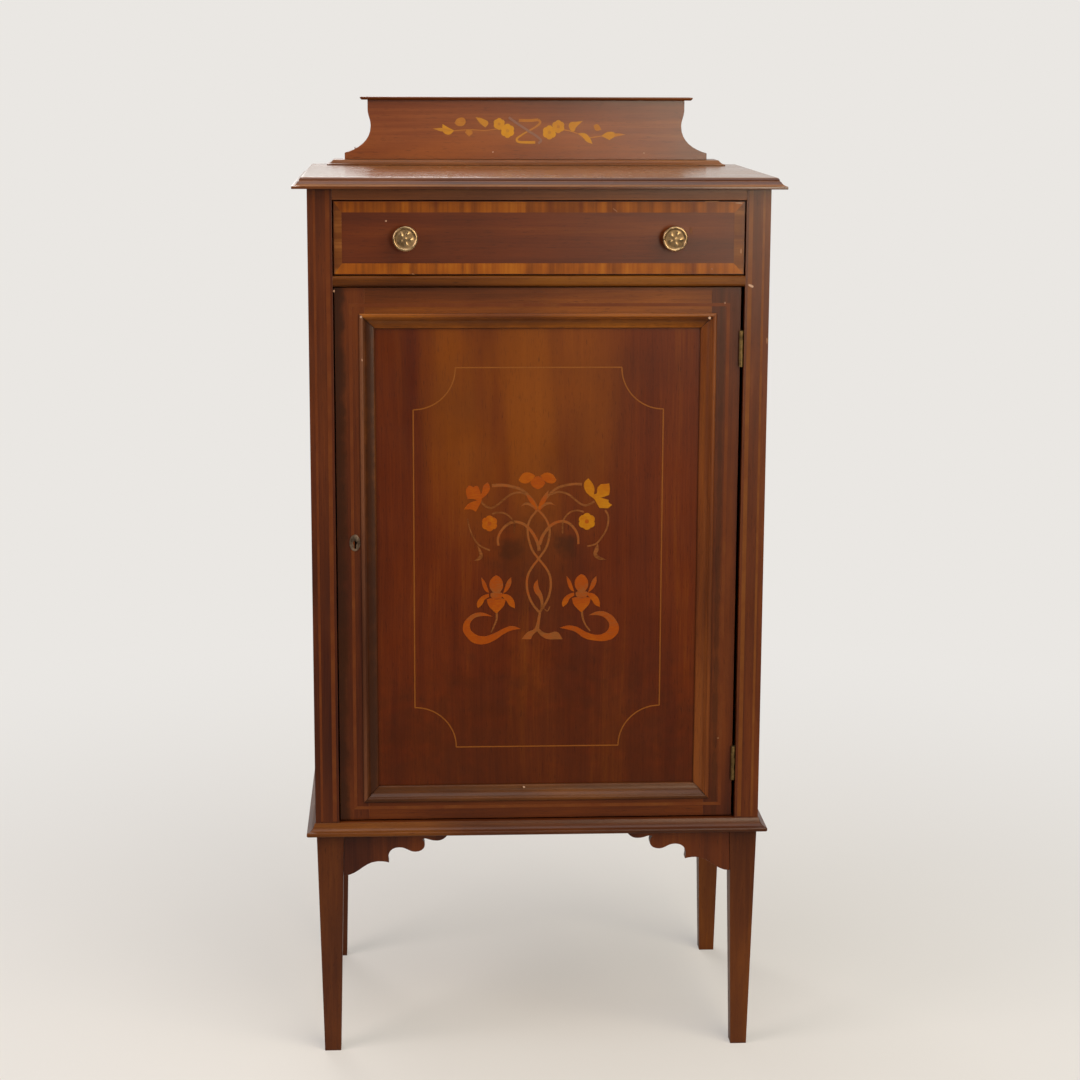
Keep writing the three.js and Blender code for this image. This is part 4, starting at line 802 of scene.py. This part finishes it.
# knocks and rubbed places, where the polish is gone
knocks = {
    "sides": 9, "ragged": 0.3, "seed": 11, "proud": 0.22,
    # x, z, half length, half width, angle, tone, by body and surface
    "places": {
        "case": [
            (-162, [(-225.6, 886.2, 1.2, 1.6, 0, 0.7), (233.4, 891.2, 3.6, 1.4, -25, 1.0),
                    (252.5, 830.2, 0.9, 3.8, 0, 0.6)]),
            (144, [(-40.5, 1025.6, 1.0, 1.0, 0, 0.8), (143.0, 1024.7, 0.9, 0.8, 0, 0.6),
                   (-207.0, 1030.0, 0.7, 1.6, 0, 0.2)]),
        ],
        "drawer": [
            (-159, [(-168.3, 962.1, 1.2, 1.2, 0, 0.8), (82.2, 974.2, 3.8, 0.5, -38, 0.55),
                    (166.2, 951.3, 1.2, 4.9, 0, 0.12), (221.9, 929.4, 1.2, 3.8, 0, 0.55),
                    (218.6, 981.9, 4.9, 0.7, 0, 0.9), (188.8, 983.5, 8.8, 0.5, 0, 0.6),
                    (190.1, 909.7, 1.1, 1.1, 0, 0.4), (-139.2, 904.4, 1.6, 0.9, -20, 0.5)]),
        ],
        "door": [
            (-158.5, [(-195.9, 809.8, 0.9, 1.6, 10, 0.7), (-196.5, 857.3, 1.6, 1.6, 45, 0.85),
                      (188.4, 855.5, 1.8, 1.8, -45, 0.95)]),
            (-156, [(224.5, 362.0, 1.0, 1.8, 0, 0.6), (207.0, 372.9, 1.1, 0.9, 0, 0.5),
                    (205.7, 871.9, 0.8, 1.3, 0, 0.7)]),
            (-158.5, [(-15.8, 318.1, 1.6, 1.2, -20, 0.95)]),
        ],
    },
}
bareWood = inlayWood("bareWood", fibre=(300, 300, 300), contrast=0.5, rough=0.5, polish=0.0,
                     stops=[(0.0, "6b4028"), (0.5, "9a6a48"), (1.0, "c9a78e")])
dice = random.Random(knocks["seed"])
for body, faces in knocks["places"].items():
    marks = []
    for surface, places in faces:
        for x, z, length, width, angle, tone in places:
            turn, outline = math.radians(angle), []
            for k in range(knocks["sides"]):
                a = 2 * math.pi * k / knocks["sides"]
                u = length * math.cos(a) * (1 - knocks["ragged"] * dice.random())
                v = width * math.sin(a) * (1 - knocks["ragged"] * dice.random())
                outline.append((x + u * math.cos(turn) - v * math.sin(turn),
                                z + u * math.sin(turn) + v * math.cos(turn)))
            marks.append(cutSlice(outline, surface, knocks["proud"] + veneer["step"] * len(marks), tone))
    joined(marks, body + "Knocks", body, bareWood)
print("worn places marked")

# the hinges' screws, in mm, and where they stand on a leaf, as shares of its depth and height
screwHead = {"radius": 2.4, "rise": 0.35, "slot": 0.7, "leaf": 1.25,
             "places": [(0.62, 0.18), (0.8, 0.5), (0.62, 0.82)]}


def screw(place, facing):
    # a slotted head, its face turned towards one side
    radius, rise = screwHead["radius"] * mm, screwHead["rise"] * mm
    bpy.ops.object.select_all(action="DESELECT")
    bpy.ops.mesh.primitive_cylinder_add(vertices=32, radius=radius, depth=2 * rise, location=(0, 0, 0))
    head = bpy.context.object
    bpy.ops.mesh.primitive_cube_add(size=1, location=(0, 0, rise))
    cutter = bpy.context.object
    cutter.scale = (screwHead["slot"] * mm, 8 * mm, 0.7 * rise)
    only(cutter)
    bpy.ops.object.transform_apply(location=False, rotation=False, scale=True)
    only(head)
    slot = head.modifiers.new("slot", "BOOLEAN")
    slot.operation = "DIFFERENCE"
    slot.solver = "EXACT"
    slot.object = cutter
    bpy.ops.object.modifier_apply(modifier="slot")
    bpy.data.objects.remove(cutter)
    only(head)
    head.rotation_euler = Vector((0, 0, 1)).rotation_difference(Vector((facing, 0, 0))).to_euler()
    head.location = place
    bpy.ops.object.transform_apply()
    bpy.ops.object.shade_smooth_by_angle(angle=0.6)
    return head


def leafScrews(node, body, facing, x):
    low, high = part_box(node)
    heads = [screw((x, low.y + back * (high.y - low.y), low.z + up * (high.z - low.z)), facing)
             for back, up in screwHead["places"]]
    joined(heads, node + "_screws", body, dullSteel)


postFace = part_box("front_post_right")[0].x - screwHead["leaf"] * mm
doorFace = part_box("door_stile_hinge")[1].x + screwHead["leaf"] * mm
for word in ("upper", "lower"):
    leafScrews("hinge_%s_post_leaf" % word, "case", -1, postFace)
    leafScrews("hinge_%s_door_leaf" % word, "door", 1, doorFace)

# floor, lamps, air and camera
studio = {
    "floor": "f3ede4", "floorPatch": "c4bdae", "air": "eae7e3", "floorReach": 14.0, "floorMiddle": 2.5,
    "fadeFrom": -0.9, "fadeTo": 1.9, "dim": 0.14, "gloss": 0.7, "floorGloss": 0.3, "aim": (0, 0, 0.6),
    "lamps": [  # name, place, size, power, colour
        ("softboxLeft", (-1.75, -1.05, 1.5), 1.2, 19.0, "fff3f1"),
        ("softboxRight", (1.5, -1.7, 1.8), 1.6, 25.0, "fff4dc"),
        ("softboxTop", (0.1, -0.75, 2.7), 1.8, 20.0, "ffffff"),
        ("windowLow", (0.9, -3.1, 1.0), 0.7, 13.0, "fff0d6"),
        ("windowHigh", (0.85, -3.0, 1.4), 0.8, 12.0, "fff0d6"),
        ("softboxBack", (-0.6, 2.2, 2.3), 1.4, 27.0, "ffffff"),
    ],
}


def floorMaterial():
    # a pale floor near the object, that fades into the air further off
    tree, place = newTree("paleFloor")
    far = tree.add("VectorMath", {0: place}, operation="LENGTH").outputs["Value"]
    patch = tree.times(tree.band(tree.noise(place, 3.0, 2.0), 0.2, 0.8), 0.06)
    colour = tree.mix(patch, studio["floor"], studio["floorPatch"])
    tree.finish({"Base Color": colour, "Roughness": 0.9, "Specular IOR Level": 0.12})
    rays = tree.add("LightPath").outputs
    seen = tree.plus(rays["Is Camera Ray"], tree.times(rays["Is Glossy Ray"], studio["floorGloss"]), True)
    glow = tree.add("Emission", {"Color": studio["air"], "Strength": seen}).outputs[0]
    blend = tree.add("MixShader", {0: tree.band(far, studio["fadeFrom"], studio["fadeTo"]),
                                   1: tree.nodes["Principled BSDF"].outputs[0], 2: glow}).outputs[0]
    tree.fill(tree.nodes["Material Output"], {"Surface": blend})
    return tree.owner


bpy.ops.object.select_all(action="DESELECT")
bpy.ops.mesh.primitive_circle_add(vertices=96, radius=studio["floorReach"], fill_type="NGON", location=(0, 0, 0))
floor = bpy.context.object
floor.name = "paleFloor"
editAll(floor)
bpy.ops.mesh.inset(thickness=studio["floorReach"] - studio["floorMiddle"], depth=0)
bpy.ops.object.mode_set(mode="OBJECT")
floor.data.materials.append(floorMaterial())

for name, place, size, power, tint in studio["lamps"]:
    bpy.ops.object.light_add(type="AREA", location=place)
    lamp = bpy.context.object
    lamp.name = name
    lamp.data.size = size
    lamp.data.energy = power
    lamp.data.color = hexColour(tint)[:3]
    lamp.rotation_euler = (Vector(studio["aim"]) - Vector(place)).to_track_quat("-Z", "Y").to_euler()
    lamp.visible_camera = False

# the air is pale where it is looked at, and dim as a source of light
world = bpy.data.worlds.new("studioAir")
bpy.context.scene.world = world
air = Tree(world)
rays = air.add("LightPath").outputs
heading = air.apart(air.add("TexCoord").outputs["Generated"])["Y"]
behind = air.add("MapRange", {0: heading, "From Min": -0.35, "From Max": 0.5, "To Max": studio["gloss"]}).outputs[0]
glossy = air.plus(air.times(rays["Is Glossy Ray"], behind), studio["dim"])
seen = air.maths("MAXIMUM", rays["Is Camera Ray"], glossy)
air.fill(air.nodes["Background"], {"Color": studio["air"], "Strength": seen})

# the photo's own view; the focal length is in pixels of its frame
eye = {"place": (-0.14935, -2.83828, 1.13527), "yaw": 0.0562, "pitch": 0.1946, "roll": -0.0041, "focal": 2436.47,
       "frame": 1080, "sensor": 36, "reach": 50}
bpy.ops.object.camera_add(location=eye["place"])
camera = bpy.context.object
yaw, pitch, roll = eye["yaw"], eye["pitch"], eye["roll"]
ahead = Vector((math.sin(yaw) * math.cos(pitch), math.cos(yaw) * math.cos(pitch), -math.sin(pitch)))
right = Vector((math.cos(yaw), -math.sin(yaw), 0))
down = ahead.cross(right)
right, down = (math.cos(roll) * right + math.sin(roll) * down, math.cos(roll) * down - math.sin(roll) * right)
camera.rotation_euler = Matrix((right, -down, -ahead)).transposed().to_euler()
camera.data.sensor_width = eye["sensor"]
camera.data.lens = eye["sensor"] * eye["focal"] / eye["frame"]
camera.data.clip_end = eye["reach"]
bpy.context.scene.camera = camera
bpy.context.scene.view_settings.view_transform = "Standard"

print("pieces ready")
